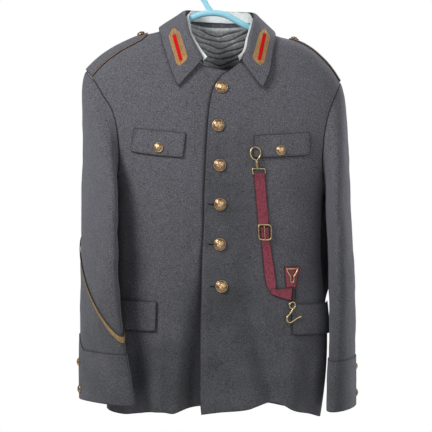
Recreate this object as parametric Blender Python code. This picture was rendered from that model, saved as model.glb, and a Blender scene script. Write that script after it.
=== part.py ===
"""Grey wool uniform jacket on a light plastic hanger.

Every table is in millimetres and is turned into metres when a mesh is made. +X is the
wearer's left, -Y is the front and +Z is up. The origin is the inside top of the hanger's
hook, where a rail holds it. "right" and "left" in names are the wearer's.
"""

import math
from collections import namedtuple

import bmesh
import bpy
import numpy as np
from mathutils import Vector
from mathutils.bvhtree import BVHTree

MM = 0.001

# Cloth and gaps
CLOTH = 2.0
THIN_CLOTH = 1.3
SEAM = 0.3
LAY = 0.6
BODY_X = 6.0
SHOULDER_ROLL = 130.0

# The garment's horizontal sections, from the neck down to the hem. left_side and
# right_side are the picture's sides: -X and +X.
Section = namedtuple("Section", "z low_x high_x front back square")
BODY = [
    Section(-60, -306, 310, 88, 86, 2.4),
    Section(-180, -300, 306, 90, 88, 2.4),
    Section(-240, -262, 290, 95, 93, 2.4),
    Section(-300, -230, 262, 99, 97, 2.5),
    Section(-350, -208, 236, 101, 98, 2.5),
    Section(-406, -190, 216, 100, 96, 2.5),
    Section(-460, -188, 213, 97, 91, 2.5),
    Section(-540, -187, 212, 93, 86, 2.4),
    Section(-610, -187, 216, 95, 88, 2.4),
    Section(-670, -189, 219, 98, 92, 2.5),
    Section(-740, -195, 218, 101, 96, 2.6),
    Section(-800, -203, 215, 104, 100, 2.6),
    Section(-850, -207, 210, 106, 102, 2.6),
]

# Height of the shoulder line; between the two neck points it only steers the neckline.
Point = namedtuple("Point", "x z")
SHOULDER_LINE = [
    Point(-262, -198),
    Point(-246, -176),
    Point(-229, -158),
    Point(-211, -143),
    Point(-183, -126),
    Point(-146, -109),
    Point(-127, -103),
    Point(-103, -97),
    Point(-60, -74),
    Point(15, -52),
    Point(91, -83),
    Point(121, -104),
    Point(148, -112),
    Point(161, -115),
    Point(189, -129),
    Point(215, -151),
    Point(233, -172),
    Point(250, -198),
    Point(262, -220),
]

# Armholes, from the shoulder point down the front to the underarm.
RIGHT_ARMHOLE = [
    Point(-245, -175),
    Point(-222, -202),
    Point(-205, -230),
    Point(-192, -250),
    Point(-184, -272),
    Point(-179, -296),
    Point(-176, -332),
    Point(-177, -362),
    Point(-182, -388),
    Point(-190, -406),
]
LEFT_ARMHOLE = [
    Point(249, -197),
    Point(238, -222),
    Point(227, -247),
    Point(219, -272),
    Point(214, -298),
    Point(211, -323),
    Point(210, -347),
    Point(212, -377),
    Point(216, -406),
]

# Front edges, from the neck down.
OVERLAP_EDGE = [
    Point(10, -202),
    Point(1, -223),
    Point(-4, -247),
    Point(-7, -273),
    Point(-10, -314),
    Point(-12, -356),
    Point(-14, -398),
    Point(-16, -482),
    Point(-19, -538),
    Point(-20, -596),
    Point(-22, -671),
    Point(-22.5, -748),
    Point(-22, -806),
    Point(-20, -827),
]
UNDERLAP_EDGE = [
    Point(42, -184),
    Point(40, -300),
    Point(38, -480),
    Point(34, -660),
    Point(32, -816),
]
UNDERLAP_DROP = 3.4

# The fronts' top edges, from their front edges to the collar's ends.
RIGHT_LEAD = [Point(42, -184), Point(13, -179), Point(-16, -173)]
LEFT_LEAD = [Point(10, -202), Point(19, -191), Point(30, -184), Point(50, -168)]

# Necklines from the front edge up to the neck point, then across the back.
RIGHT_NECK = [Point(-16, -173), Point(-32, -158), Point(-46, -137), Point(-56, -108), Point(-60, -74)]
LEFT_NECK = [Point(50, -168), Point(70, -158), Point(84, -137), Point(90, -109), Point(91, -83)]
BACK_NECK = [
    Point(-60, -74),
    Point(-48, -79),
    Point(-20, -84),
    Point(15, -86),
    Point(50, -86),
    Point(79, -85),
    Point(91, -83),
]

# Hems, from the front edge round to the side.
RIGHT_HEM = [
    Point(32, -816),
    Point(-20, -812),
    Point(-38, -817),
    Point(-58, -822),
    Point(-72, -826),
    Point(-92, -823),
    Point(-112, -823),
    Point(-150, -830),
    Point(-185, -829),
    Point(-207, -826),
]
LEFT_HEM = [
    Point(-20, -827),
    Point(13, -823),
    Point(50, -820),
    Point(70, -817),
    Point(87, -812),
    Point(110, -808),
    Point(134, -812),
    Point(148, -819),
    Point(163, -825),
    Point(190, -833),
    Point(210, -842),
]
BACK_HEM = [
    Point(-207, -826),
    Point(-140, -832),
    Point(-60, -829),
    Point(10, -835),
    Point(90, -832),
    Point(160, -838),
    Point(210, -842),
]

# Folds: a trough has positive depth. They start at start_z and are full at the hem.
Fold = namedtuple("Fold", "top_x hem_x start_z depth width")
RIGHT_FOLDS = [
    Fold(-20, -40, -520, 26, 19),
    Fold(-92, -102, -560, -9, 15),
    Fold(-150, -146, -600, 13, 14),
    Fold(-120, -128, -420, 3, 16),
]
LEFT_FOLDS = [
    Fold(60, 112, -560, 21, 19),
    Fold(150, 152, -640, -7, 14),
    Fold(60, 62, -600, -4, 20),
    Fold(185, 180, -660, 5, 12),
]
BACK_FOLDS = [
    Fold(-150, -150, -500, 13, 19),
    Fold(-75, -82, -460, -9, 24),
    Fold(5, -8, -430, 12, 26),
    Fold(84, 80, -500, -8, 22),
    Fold(150, 146, -480, 13, 18),
]

# Sleeve sections: reach is along the sleeve's wide way, which points forward and, with
# yaw, towards the body's middle; half is across it.
Cut = namedtuple("Cut", "z x y reach half yaw")
RIGHT_SLEEVE = [
    Cut(-430, -217, -30, 88, 22, 24),
    Cut(-500, -217, -38, 86, 23, 24),
    Cut(-590, -215, -48, 82, 24, 26),
    Cut(-690, -209, -61, 80, 23, 33),
    Cut(-750, -204, -69, 79, 21, 39),
    Cut(-807, -199, -76, 78, 19, 44),
]
LEFT_SLEEVE = [
    Cut(-430, 244, -8, 86, 24, 8),
    Cut(-500, 248, -10, 83, 24, 9),
    Cut(-590, 252, -14, 80, 24, 11),
    Cut(-690, 252, -20, 77, 23, 14),
    Cut(-760, 250, -26, 74, 22, 17),
    Cut(-823, 249, -31, 72, 21, 20),
]
RIGHT_CUFF_TOP = -711
RIGHT_CUFF_SCROLL = 24
LEFT_CUFF_TOP = -727

# Collar: the fold along its top, and the outer edge of the fall, from the wearer's right
# front end round the neck to the left front end.
Spot = namedtuple("Spot", "x y z")
COLLAR_FOLD = [
    Spot(-16, -84, -163),
    Spot(-29, -77, -142),
    Spot(-42, -64, -115),
    Spot(-49, -45, -88),
    Spot(-51, 2, -60),
    Spot(-34, 40, -54),
    Spot(15, 56, -53),
    Spot(63, 40, -57),
    Spot(81, 2, -65),
    Spot(79, -43, -92),
    Spot(72, -64, -119),
    Spot(66, -77, -146),
    Spot(54, -84, -163),
]
FALL_EDGE = [
    Spot(-64, -90, -214),
    Spot(-76, -84, -185),
    Spot(-88, -70, -149),
    Spot(-98, -42, -113),
    Spot(-102, 0, -89),
    Spot(-74, 54, -98),
    Spot(15, 76, -106),
    Spot(104, 54, -104),
    Spot(121, 0, -98),
    Spot(118, -42, -125),
    Spot(114, -70, -156),
    Spot(108, -84, -188),
    Spot(95, -90, -218),
]

# Flaps: four corners, in the order top inner, top outer, bottom outer, bottom inner.
CHEST_FLAPS = {
    "right": [Point(-48, -301), Point(-146, -290), Point(-153, -335), Point(-54, -347)],
    "left": [Point(78, -305), Point(184, -298), Point(186, -341), Point(76, -347)],
}
HIP_FLAPS = {
    "right": (-0.38, -1.10, -616, -673),
    "left": (0.456, 1.10, -622, -681),
}

# Buttons
FRONT_BUTTONS = [
    Point(18.4, -214),
    Point(11.7, -286),
    Point(14.5, -361),
    Point(15.5, -434),
    Point(14.7, -509),
    Point(17.9, -588),
]
CHEST_BUTTONS = {"right": Point(-100, -328), "left": Point(129, -333)}
STRAP_THICK = 3.0
FRONT_BUTTON = 23.0
CHEST_BUTTON = 18.0
CUFF_BUTTON = 15.0
STRAP_BUTTON = 16.0

# Hanger
HOOK_INSIDE = 18.0
HOOK_BAR = 11.0
ARM_TALL = 12.5
ARM_DEEP = 9.0
HANGER_DROP = 3.2
ARM_TOP = [
    Point(-190, 0),
    Point(-150, 0),
    Point(-103, 0),
    Point(-62, 0),
    Point(-46, -68),
    Point(-25, -58),
    Point(0, -54.5),
    Point(25, -58),
    Point(50, -71),
    Point(70, -82),
    Point(93, 0),
    Point(121, 0),
    Point(160, 0),
    Point(202, 0),
]


# Curves and tables


def curve(points):
    """A smooth curve through the points; returns a function of 0 to 1 by length."""
    p = np.array(points, float)
    step = np.linalg.norm(np.diff(p, axis=0), axis=1)
    knot = np.concatenate([[0], np.cumsum(step)]) / step.sum()
    slope = np.zeros_like(p)
    rate = np.diff(p, axis=0) / np.diff(knot)[:, None]
    slope[0], slope[-1] = rate[0], rate[-1]
    for i in range(1, len(p) - 1):
        before, after = knot[i] - knot[i - 1], knot[i + 1] - knot[i]
        slope[i] = (rate[i - 1] * after + rate[i] * before) / (before + after)

    def at(t):
        t = np.clip(np.asarray(t, float), 0, 1)
        i = np.clip(np.searchsorted(knot, t, side="right") - 1, 0, len(p) - 2)
        width = knot[i + 1] - knot[i]
        s = ((t - knot[i]) / width)[..., None]
        width = width[..., None]
        return (
            p[i] * (2 * s**3 - 3 * s**2 + 1)
            + slope[i] * width * (s**3 - 2 * s**2 + s)
            + p[i + 1] * (3 * s**2 - 2 * s**3)
            + slope[i + 1] * width * (s**3 - s**2)
        )

    at.knot = knot
    return at


def at_rows(table, places):
    """Points of a table's smooth curve at places counted in rows, such as 2.5."""
    through = curve(table)
    return through(np.interp(places, np.arange(len(table)), through.knot))


def read_table(rows, key, value, column):
    """One column of a table at the given values of its key column, smoothly."""
    rows = sorted(rows, key=lambda row: getattr(row, key))
    k = np.array([getattr(row, key) for row in rows], float)
    c = np.array([getattr(row, column) for row in rows], float)
    rate = np.diff(c) / np.diff(k)
    slope = np.concatenate([[rate[0]], (rate[1:] + rate[:-1]) / 2, [rate[-1]]])
    v = np.clip(np.asarray(value, float), k[0], k[-1])
    i = np.clip(np.searchsorted(k, v, side="right") - 1, 0, len(k) - 2)
    width = k[i + 1] - k[i]
    s = (v - k[i]) / width
    return (
        c[i] * (2 * s**3 - 3 * s**2 + 1)
        + slope[i] * width * (s**3 - 2 * s**2 + s)
        + c[i + 1] * (3 * s**2 - 2 * s**3)
        + slope[i + 1] * width * (s**3 - s**2)
    )


def ease(value):
    """Smoothly 0 to 1."""
    v = np.clip(value, 0, 1)
    return v * v * (3 - 2 * v)


# The body's form


def half_width(q, z):
    """From the middle to the side that q points to."""
    low = BODY_X - read_table(BODY, "z", z, "low_x")
    high = read_table(BODY, "z", z, "high_x") - BODY_X
    return np.where(np.asarray(q) < 0, low, high)


def across(x, z):
    """The place across the body, -1 to 1 from side to side, of a point at x and z."""
    x = np.asarray(x, float)
    share = (x - BODY_X) / half_width(x - BODY_X, z)
    return np.arcsin(np.clip(share, -1, 1)) * 2 / math.pi


def body_form(q, z, side, folds):
    """Points on the cloth's outside. side is -1 in front and 1 behind."""
    q, z = np.broadcast_arrays(np.asarray(q, float), np.asarray(z, float))
    swing = np.sin(q * math.pi / 2)
    x = BODY_X + half_width(q, z) * swing
    square = read_table(BODY, "z", z, "square")
    round_off = np.clip(1 - np.abs(swing) ** square, 0, 1) ** (1 / square)
    rise = np.clip(read_table(SHOULDER_LINE, "x", x, "z") - z, 0, None) / SHOULDER_ROLL
    roll = np.sqrt(1 - np.exp(-2 * rise))
    depth = read_table(BODY, "z", z, "front" if side < 0 else "back")
    y = side * depth * round_off * roll
    fade = ease((1 - np.abs(q)) / 0.12)
    for fold in folds:
        grown = ease((fold.start_z - z) / (fold.start_z + 830))
        middle = fold.top_x + (fold.hem_x - fold.top_x) * grown
        y = y - side * fold.depth * grown * fade * np.exp(-(((x - middle) / fold.width) ** 2))
    return np.stack([x, y, z], axis=-1)


def patch(top, bottom, near, far, near_fade, far_fade):
    """A grid of (q, z) between four edges; the fades keep the side edges' bends local."""
    u = np.linspace(0, 1, len(top))[None]
    near_drop = (near[:, 1] - near[0, 1]) / (near[-1, 1] - near[0, 1])
    far_drop = (far[:, 1] - far[0, 1]) / (far[-1, 1] - far[0, 1])
    v = (1 - u) * near_drop[:, None] + u * far_drop[:, None]
    near_bend = near[:, 0] - (near[0, 0] + (near[-1, 0] - near[0, 0]) * near_drop)
    far_bend = far[:, 0] - (far[0, 0] + (far[-1, 0] - far[0, 0]) * far_drop)
    q = (1 - v) * top[:, 0] + v * bottom[:, 0]
    q = q + (1 - u) ** near_fade * near_bend[:, None] + u**far_fade * far_bend[:, None]
    return np.stack([q, (1 - v) * top[:, 1] + v * bottom[:, 1]], axis=-1)


def on_form(points):
    """(x, z) points as (q, z)."""
    points = np.asarray(points, float)
    return np.stack([across(points[:, 0], points[:, 1]), points[:, 1]], axis=-1)


def spread(points, count):
    return curve(points)(np.linspace(0, 1, count))


def shoulder(from_x, to_x, count):
    x = np.linspace(from_x, to_x, count)
    return np.stack([x, read_table(SHOULDER_LINE, "x", x, "z")], axis=-1)


# Meshes


def grid_normals(grid, closed):
    """Unit normals of a grid of points."""
    if closed:
        du = np.roll(grid, -1, axis=1) - np.roll(grid, 1, axis=1)
    else:
        du = np.gradient(grid, axis=1)
    dv = np.gradient(grid, axis=0)
    n = np.cross(du, dv)
    return n / np.maximum(np.linalg.norm(n, axis=-1, keepdims=True), 1e-9)


def grid_faces(rows, columns, closed, first=0, flip=False):
    """Triangles over a grid, cut the same way everywhere so that layers match."""
    faces = []
    for j in range(rows - 1):
        for i in range(columns if closed else columns - 1):
            k = (i + 1) % columns
            a, b = first + j * columns + i, first + j * columns + k
            c, d = a + columns, b + columns
            for face in ([a, b, d], [a, d, c]):
                faces.append(face[::-1] if flip else face)
    return faces


def rim_faces(rows, columns, closed, offset):
    """Joins the edges of two equal grids, the second starting at offset."""
    loop = []
    if closed:
        faces = []
        for row in (0, rows - 1):
            for i in range(columns):
                k = (i + 1) % columns
                a, b = row * columns + i, row * columns + k
                faces.append([a, b, b + offset, a + offset])
        return faces
    loop += [i for i in range(columns)]
    loop += [j * columns + columns - 1 for j in range(1, rows)]
    loop += [(rows - 1) * columns + i for i in range(columns - 2, -1, -1)]
    loop += [j * columns for j in range(rows - 2, 0, -1)]
    faces = []
    for n, a in enumerate(loop):
        b = loop[(n + 1) % len(loop)]
        faces.append([a, b, b + offset, a + offset])
    return faces


def add_object(name, points, faces, finish):
    """A mesh object in metres, closed and facing outwards."""
    mesh = bpy.data.meshes.new(name)
    mesh.from_pydata([tuple(p * MM) for p in np.asarray(points, float)], [], faces)
    body = bmesh.new()
    body.from_mesh(mesh)
    bmesh.ops.recalc_face_normals(body, faces=body.faces)
    body.to_mesh(mesh)
    body.free()
    mesh.shade_smooth()
    mesh.set_sharp_from_angle(angle=math.radians(40))
    mesh.materials.append(finish)
    thing = bpy.data.objects.new(name, mesh)
    bpy.context.collection.objects.link(thing)
    return thing


def between(name, outside, inside, finish, closed=False):
    """A wall between two equal grids."""
    rows, columns = outside.shape[:2]
    points = np.concatenate([outside.reshape(-1, 3), inside.reshape(-1, 3)])
    count = rows * columns
    faces = grid_faces(rows, columns, closed)
    faces += grid_faces(rows, columns, closed, count, flip=True)
    faces += rim_faces(rows, columns, closed, count)
    return add_object(name, points, faces, finish)


def finish(name, colour, roughness, metallic=0.0):
    made = bpy.data.materials.new(name)
    made.use_nodes = True
    shader = made.node_tree.nodes["Principled BSDF"]
    shader.inputs["Base Color"].default_value = (*colour, 1)
    shader.inputs["Roughness"].default_value = roughness
    shader.inputs["Metallic"].default_value = metallic
    return made


SETTLE_STEPS = 5
SETTLE_ROUNDS = 12


class Surface:
    """The outside of pieces already made, to lay others on."""

    def __init__(self, *grids):
        points, faces = [], []
        for grid in grids:
            rows, columns = grid.shape[:2]
            faces += grid_faces(rows, columns, False, len(points))
            points += [Vector(p) for p in grid.reshape(-1, 3)]
        self.tree = BVHTree.FromPolygons(points, faces)

    def from_front(self, x, z, lift):
        place, normal, _, _ = self.tree.ray_cast(Vector((x, -600, z)), Vector((0, 1, 0)))
        if normal.y > 0:
            normal = -normal
        return np.array(place + normal * lift), np.array(normal)

    def nearest(self, point):
        """The surface's nearest point, its outward normal and the height over it."""
        place, normal, _, distance = self.tree.find_nearest(Vector(point))
        if normal.dot(place - Vector((15, 0, place.z - 80))) < 0:
            normal = -normal
        height = (Vector(point) - place).dot(normal)
        beyond_edge = distance > 1.2 and abs(height) < 0.8 * distance
        return place, normal, distance if beyond_edge or distance > 9 else height

    def clear(self, point, lift):
        """The point, moved out where it lies nearer than lift to the surface."""
        place, normal, height = self.nearest(point)
        return np.array(place + normal * lift) if height < lift else np.array(point, float)

    def settle(self, inside, away, gap):
        """How far to raise each point of a grid so that its faces clear the surface."""
        rows, columns = inside.shape[:2]
        faces = grid_faces(rows, columns, False)
        flat, out = inside.reshape(-1, 3), away.reshape(-1, 3)
        raised = np.zeros(len(flat))
        steps = range(SETTLE_STEPS + 1)
        shares = [(a, b, SETTLE_STEPS - a - b) for a in steps for b in steps if a + b <= SETTLE_STEPS]
        shares = np.array(shares) / SETTLE_STEPS
        for _ in range(SETTLE_ROUNDS):
            now = flat + out * raised[:, None]
            for face in faces:
                short = max(gap - self.nearest(point)[2] for point in shares @ now[face])
                if short > 0:
                    raised[face] += short * 0.6
        return raised.reshape(rows, columns, 1)

    def from_above(self, x, y, lift):
        y = math.copysign(max(abs(y), SEAM), y)
        place, normal, _, _ = self.tree.ray_cast(Vector((x, y, 300)), Vector((0, 0, -1)))
        if normal.z < 0:
            normal = -normal
        return np.array(place + normal * lift), np.array(normal)


# Body panels


ARM_ROWS = 12
SIDE_ROWS = 11
UNDERLAP_COLUMNS = 3
OVERLAP_COLUMNS = 3
NECK_COLUMNS = 5
SHOULDER_COLUMNS = 7
BACK_NECK_COLUMNS = 6
BACK_SHOULDER_COLUMNS = 7


def row_share(count):
    """Row places from 0 to 1, closer together near 0, where the shoulder rolls over."""
    return 1 - np.cos(np.linspace(0, math.pi / 2, count + 1))


def armhole_side(armhole, hem_corner):
    """(q, z) down an armhole and its side seam, to the hem."""
    arm = on_form(curve(armhole)(row_share(ARM_ROWS)))
    sign = np.sign(arm[-1, 0])
    arm[-1, 0] = sign
    arm[0, 1] = read_table(SHOULDER_LINE, "x", armhole[0].x, "z")
    side_z = np.linspace(armhole[-1].z, hem_corner.z, SIDE_ROWS + 1)[1:]
    side = np.stack([np.full(SIDE_ROWS, sign), side_z], axis=-1)
    return np.concatenate([arm, side])


def front_edge(edge, underarm_z):
    """(q, z) down a front edge, its rows level with the armhole's and the side's."""
    down = curve(edge)(np.linspace(0, 1, 200))
    upper = edge[0].z + (underarm_z - edge[0].z) * row_share(ARM_ROWS)
    lower = np.linspace(underarm_z, edge[-1].z, SIDE_ROWS + 1)[1:]
    z = np.concatenate([upper, lower])
    x = np.interp(-z, -down[:, 1], down[:, 0])
    return on_form(np.stack([x, z], axis=-1))


def front_panel(edge, lead, lead_columns, neck, hem, armhole, folds):
    """A front's outside grid."""
    ahead = spread(lead, lead_columns + 1)[:-1]
    around = spread(neck, NECK_COLUMNS + 1)
    over = shoulder(neck[-1].x, armhole[0].x, SHOULDER_COLUMNS + 1)[1:]
    top = on_form(np.concatenate([ahead, around, over]))
    bottom = on_form(spread(hem, len(top)))
    far = armhole_side(armhole, hem[-1])
    near = front_edge(edge, armhole[-1].z)
    bottom[-1] = far[-1]
    bottom[0] = near[-1]
    cells = patch(top, bottom, near, far, 6, 3)
    return body_form(cells[..., 0], cells[..., 1], -1, folds)


def back_panel():
    left = armhole_side(RIGHT_ARMHOLE, BACK_HEM[0])
    right = armhole_side(LEFT_ARMHOLE, BACK_HEM[-1])
    first = shoulder(RIGHT_ARMHOLE[0].x, BACK_NECK[0].x, BACK_SHOULDER_COLUMNS + 1)[:-1]
    neck = spread(BACK_NECK, BACK_NECK_COLUMNS + 1)
    last = shoulder(BACK_NECK[-1].x, LEFT_ARMHOLE[0].x, BACK_SHOULDER_COLUMNS + 1)[1:]
    top = on_form(np.concatenate([first, neck, last]))
    bottom = on_form(spread(BACK_HEM, len(top)))
    bottom[0], bottom[-1] = left[-1], right[-1]
    cells = patch(top, bottom, left, right, 3, 3)
    return body_form(cells[..., 0], cells[..., 1], 1, BACK_FOLDS)


def keep_side(grid, side):
    """Holds a panel off the seams at y = 0, where front and back meet."""
    grid = grid.copy()
    if side < 0:
        grid[..., 1] = np.minimum(grid[..., 1], -SEAM / 2)
    else:
        grid[..., 1] = np.maximum(grid[..., 1], SEAM / 2)
    return grid


def facing(grid, closed, outwards):
    """Normals of a grid, turned so that they point along outwards."""
    n = grid_normals(grid, closed)
    return n if (n * outwards).sum() > 0 else -n


def panel(name, grid, side, cloth):
    away = facing(grid, False, np.array([0, side, 0]))
    inside = keep_side(grid - away * CLOTH, side)
    between(name, grid, inside, cloth)
    return away


# Sleeves


HEAD_ROWS = 6
ARM_LENGTH_ROWS = 8


def sleeve_ring(cuts, z, hand, grow=0.0, count=2 * ARM_ROWS):
    """One level ring of a sleeve. hand is 1 where the body is towards +X."""
    centre_x = read_table(cuts, "z", z, "x")
    centre_y = read_table(cuts, "z", z, "y")
    reach = read_table(cuts, "z", z, "reach") + grow
    half = read_table(cuts, "z", z, "half") + grow
    yaw = np.radians(read_table(cuts, "z", z, "yaw"))
    turn = np.arange(count) * 2 * math.pi / count
    wide = reach * np.sin(turn)
    thin = half * np.cos(turn)
    x = centre_x + hand * (wide * np.sin(yaw) - thin * np.cos(yaw))
    y = centre_y - wide * np.cos(yaw) - thin * np.sin(yaw)
    return np.stack([x, y, np.full(count, float(z))], axis=-1)


def armhole_ring(front, front_away, back, back_away, end):
    """The armhole's points, their cloth's normals and the ways out of the cloth."""
    rows = slice(0, ARM_ROWS + 1)
    f, fn = front[rows, end], front_away[rows, end]
    b, bn = back[rows, end], back_away[rows, end]
    loop = np.concatenate([f, b[-2:0:-1]])
    away = np.concatenate([fn, bn[-2:0:-1]])
    loop[0] = (f[0] + b[0]) / 2
    loop[ARM_ROWS] = (f[-1] + b[-1]) / 2
    away[0] = (fn[0] + bn[0]) / 2
    away[ARM_ROWS] = (fn[-1] + bn[-1]) / 2
    away /= np.linalg.norm(away, axis=-1, keepdims=True)
    tangent = np.roll(loop, -1, axis=0) - np.roll(loop, 1, axis=0)
    out = np.cross(tangent, away)
    out /= np.linalg.norm(out, axis=-1, keepdims=True)
    if (out * (loop - loop.mean(axis=0))).sum() > 0:
        out = -out
    return loop, away, out


def sleeve_grid(cuts, hand, loop, away, out):
    """A sleeve's outside, from its armhole down."""
    first_ring = sleeve_ring(cuts, cuts[0].z, hand)
    count = len(loop)
    around = np.arange(count) / count
    under = 0.5 - 0.5 * np.cos(around * 2 * math.pi)
    low = ease((under - 0.72) / 0.28)[:, None]
    top = ease((0.34 - under) / 0.34)[:, None]
    down = np.array([0, 0, -1.0])
    lead = (
        out * (0.25 + 0.75 * top - 0.05 * low)
        + away * (0.25 - 0.2 * top + 0.85 * low)
        + down * (0.75 - 0.6 * top - 0.75 * low)
    )
    lead /= np.linalg.norm(lead, axis=-1, keepdims=True)
    drop = np.linalg.norm(first_ring - loop, axis=-1)[:, None]
    start = loop + out * SEAM * (1 + 2 * low)
    rows = []
    for s in np.linspace(0, 1, HEAD_ROWS + 1):
        s = s**1.15
        pull = lead * drop * (0.5 - 0.14 * top)
        rows.append(
            start * (2 * s**3 - 3 * s**2 + 1)
            + pull * (s**3 - 2 * s**2 + s)
            + first_ring * (3 * s**2 - 2 * s**3)
            + down * drop * 0.9 * (s**3 - s**2)
        )
    for z in np.linspace(cuts[0].z, cuts[-1].z, ARM_LENGTH_ROWS + 1)[1:]:
        rows.append(sleeve_ring(cuts, z, hand))
    return np.array(rows)


def sleeve(name, grid, away_at_seam, cloth):
    """A sleeve's wall; its first row's thickness lies along the panels' thickness."""
    middle = grid.mean(axis=1, keepdims=True)
    away = facing(grid, True, grid - middle)
    count = grid.shape[1]
    under = 0.5 - 0.5 * np.cos(np.arange(count) * 2 * math.pi / count)
    low = ease((under - 0.8) / 0.2)[:, None]
    first = away_at_seam * (1 - low) + away[0] * low
    away[0] = first / np.linalg.norm(first, axis=-1, keepdims=True)
    between(name, grid, grid - away * CLOTH, cloth, closed=True)


def cuff(name, cuts, hand, top_z, scroll, cloth):
    """A turned cuff round the sleeve's end; scroll raises its edge at the back."""
    count = 2 * ARM_ROWS
    turn = np.arange(count) / count
    rear = np.exp(-(((turn - 0.80) / 0.07) ** 2))
    outside, inside = [], []
    for share in np.linspace(0, 1, 4):
        z = top_z + (cuts[-1].z - top_z) * share + scroll * rear * (1 - share)
        for rows, grow in ((outside, SEAM + 0.3 + THIN_CLOTH), (inside, SEAM + 0.3)):
            rows.append([sleeve_ring(cuts, z[k], hand, grow)[k] for k in range(count)])
    between(name, np.array(outside), np.array(inside), cloth, closed=True)


# Collar


FALL_CLOTH = 1.6
STAND_HALF = 0.9
STAND_LIFT = 2.9
FALL_ROWS = 6
LINER_RISE = 3.4
LINER_BACK = 20.0
LINER_FRONT = 7.0
LINER_GAP = 1.5


def collar_frames(neck, places):
    """For each place round the neck: base, fold, outer edge, up and outward ways."""
    base = np.stack([np.interp(places, neck_places(), neck[:, n]) for n in range(3)], axis=-1)
    fold = at_rows(COLLAR_FOLD, places)
    edge = at_rows(FALL_EDGE, places)
    along = np.gradient(fold, axis=0)
    up = fold - base
    up /= np.linalg.norm(up, axis=-1, keepdims=True)
    out = np.cross(along, up)
    out /= np.linalg.norm(out, axis=-1, keepdims=True)
    if (out * (edge - fold)).sum() < 0:
        out = -out
    return base, fold, edge, up, out


def neck_places():
    """Where the panels' neckline points lie, counted in rows of the collar's tables."""
    front = np.linspace(0, 4, NECK_COLUMNS + 1)
    behind = np.linspace(4, 8, BACK_NECK_COLUMNS + 1)[1:-1]
    return np.concatenate([front, behind, 12 - front[::-1]])


def neckline(right, left, back):
    """The panels' own neckline points, from one collar end round to the other."""
    first = right[0, UNDERLAP_COLUMNS : UNDERLAP_COLUMNS + NECK_COLUMNS + 1]
    behind = back[0, BACK_SHOULDER_COLUMNS + 1 : BACK_SHOULDER_COLUMNS + BACK_NECK_COLUMNS]
    last = left[0, OVERLAP_COLUMNS : OVERLAP_COLUMNS + NECK_COLUMNS + 1][::-1]
    return np.concatenate([first, behind, last])


def collar(neck, body, wool, white):
    """Stand, fall and white liner; returns the fall's outside for what lies on it."""
    places = neck_places()
    places = np.union1d(places, (places[1:] + places[:-1]) / 2)
    base, fold, edge, up, out = collar_frames(neck, places)
    middle = [base + up * STAND_LIFT, (base + fold) / 2, fold]
    outside = np.array([row + out * STAND_HALF for row in middle])
    inside = np.array([row - out * STAND_HALF for row in middle])
    between("collar_stand", outside, inside, wool)

    behind = np.sin(places / 12 * math.pi)[:, None] ** 1.5
    tall = np.linalg.norm(fold - base, axis=-1, keepdims=True)
    deep = np.minimum(LINER_FRONT + (LINER_BACK - LINER_FRONT) * behind, tall * 0.66)
    rows = [fold + up * LINER_RISE, fold - up * deep * 0.4, fold - up * deep]
    outside = np.array([row - out * (STAND_HALF + LINER_GAP + 1.0) for row in rows])
    inside = np.array([row - out * (STAND_HALF + LINER_GAP) for row in rows])
    between("collar_liner", outside, inside, white)

    rows = [
        fold - out * STAND_HALF + up * 3.0,
        fold + out * 1.7 + up * 2.9,
        fold + out * 4.4 - up * 0.6,
    ]
    for share in np.linspace(0, 1, FALL_ROWS + 1)[1:]:
        row = rows[2] + (edge - rows[2]) * share
        rows.append(np.array([body.clear(p, LAY + FALL_CLOTH + 0.3) for p in row]))
    outside = np.array(rows)
    middle = np.array([15.0, 0, -180])
    away = facing(outside, False, outside - middle)
    lying = slice(3, None)
    under = outside[lying] - away[lying] * FALL_CLOTH
    outside[lying] += away[lying] * body.settle(under, away[lying], SEAM + 0.3)
    away = facing(outside, False, outside - middle)
    between("collar_fall", outside, outside - away * FALL_CLOTH, wool)
    return outside


def lining(back, back_away, cloth):
    """The light lining behind the neck opening, inside the back."""
    rows = slice(1, 12)
    columns = slice(BACK_SHOULDER_COLUMNS, BACK_SHOULDER_COLUMNS + BACK_NECK_COLUMNS + 1)
    grid, away = back[rows, columns], back_away[rows, columns]
    near = grid - away * (CLOTH + LAY)
    far = grid - away * (CLOTH + LAY + 1.0)
    between("back_lining", far, near, cloth)


# Pieces that lie on others


def laid(name, surface, places, lift, thick, cloth):
    """A flat piece over (x, z) places, lying on a surface seen from the front."""
    rows, columns = places.shape[:2]
    inside = np.zeros((rows, columns, 3))
    away = np.zeros((rows, columns, 3))
    for j in range(rows):
        for i in range(columns):
            x, z = places[j, i]
            inside[j, i], away[j, i] = surface.from_front(x, z, lift)
    inside += away * surface.settle(inside, away, SEAM + 0.1)
    outside = inside + away * thick
    between(name, outside, inside, cloth)
    return outside


def quad_places(corners, rows, columns):
    a, b, c, d = [np.array(p, float) for p in corners]
    u = np.linspace(0, 1, columns)[None, :, None]
    v = np.linspace(0, 1, rows)[:, None, None]
    return (a * (1 - u) + b * u) * (1 - v) + (d * (1 - u) + c * u) * v


def hip_flap(name, q_near, q_far, top_z, bottom_z, folds, cloth):
    """A flap that goes round the side, made from the body's form, moved out."""
    q, z = np.meshgrid(np.linspace(q_near, q_far, 11), np.linspace(top_z, bottom_z, 4))
    front = body_form(np.clip(q, -1, 1), z, -1, folds)
    behind = body_form(np.sign(q) * (2 - np.abs(q)), z, 1, BACK_FOLDS)
    grid = np.where((np.abs(q) > 1)[..., None], behind, front)
    away = facing(grid, False, grid - np.array([BODY_X, 0, -640.0]))
    between(name, grid + away * (LAY + 0.4 + CLOTH), grid + away * (LAY + 0.4), cloth)


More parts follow.
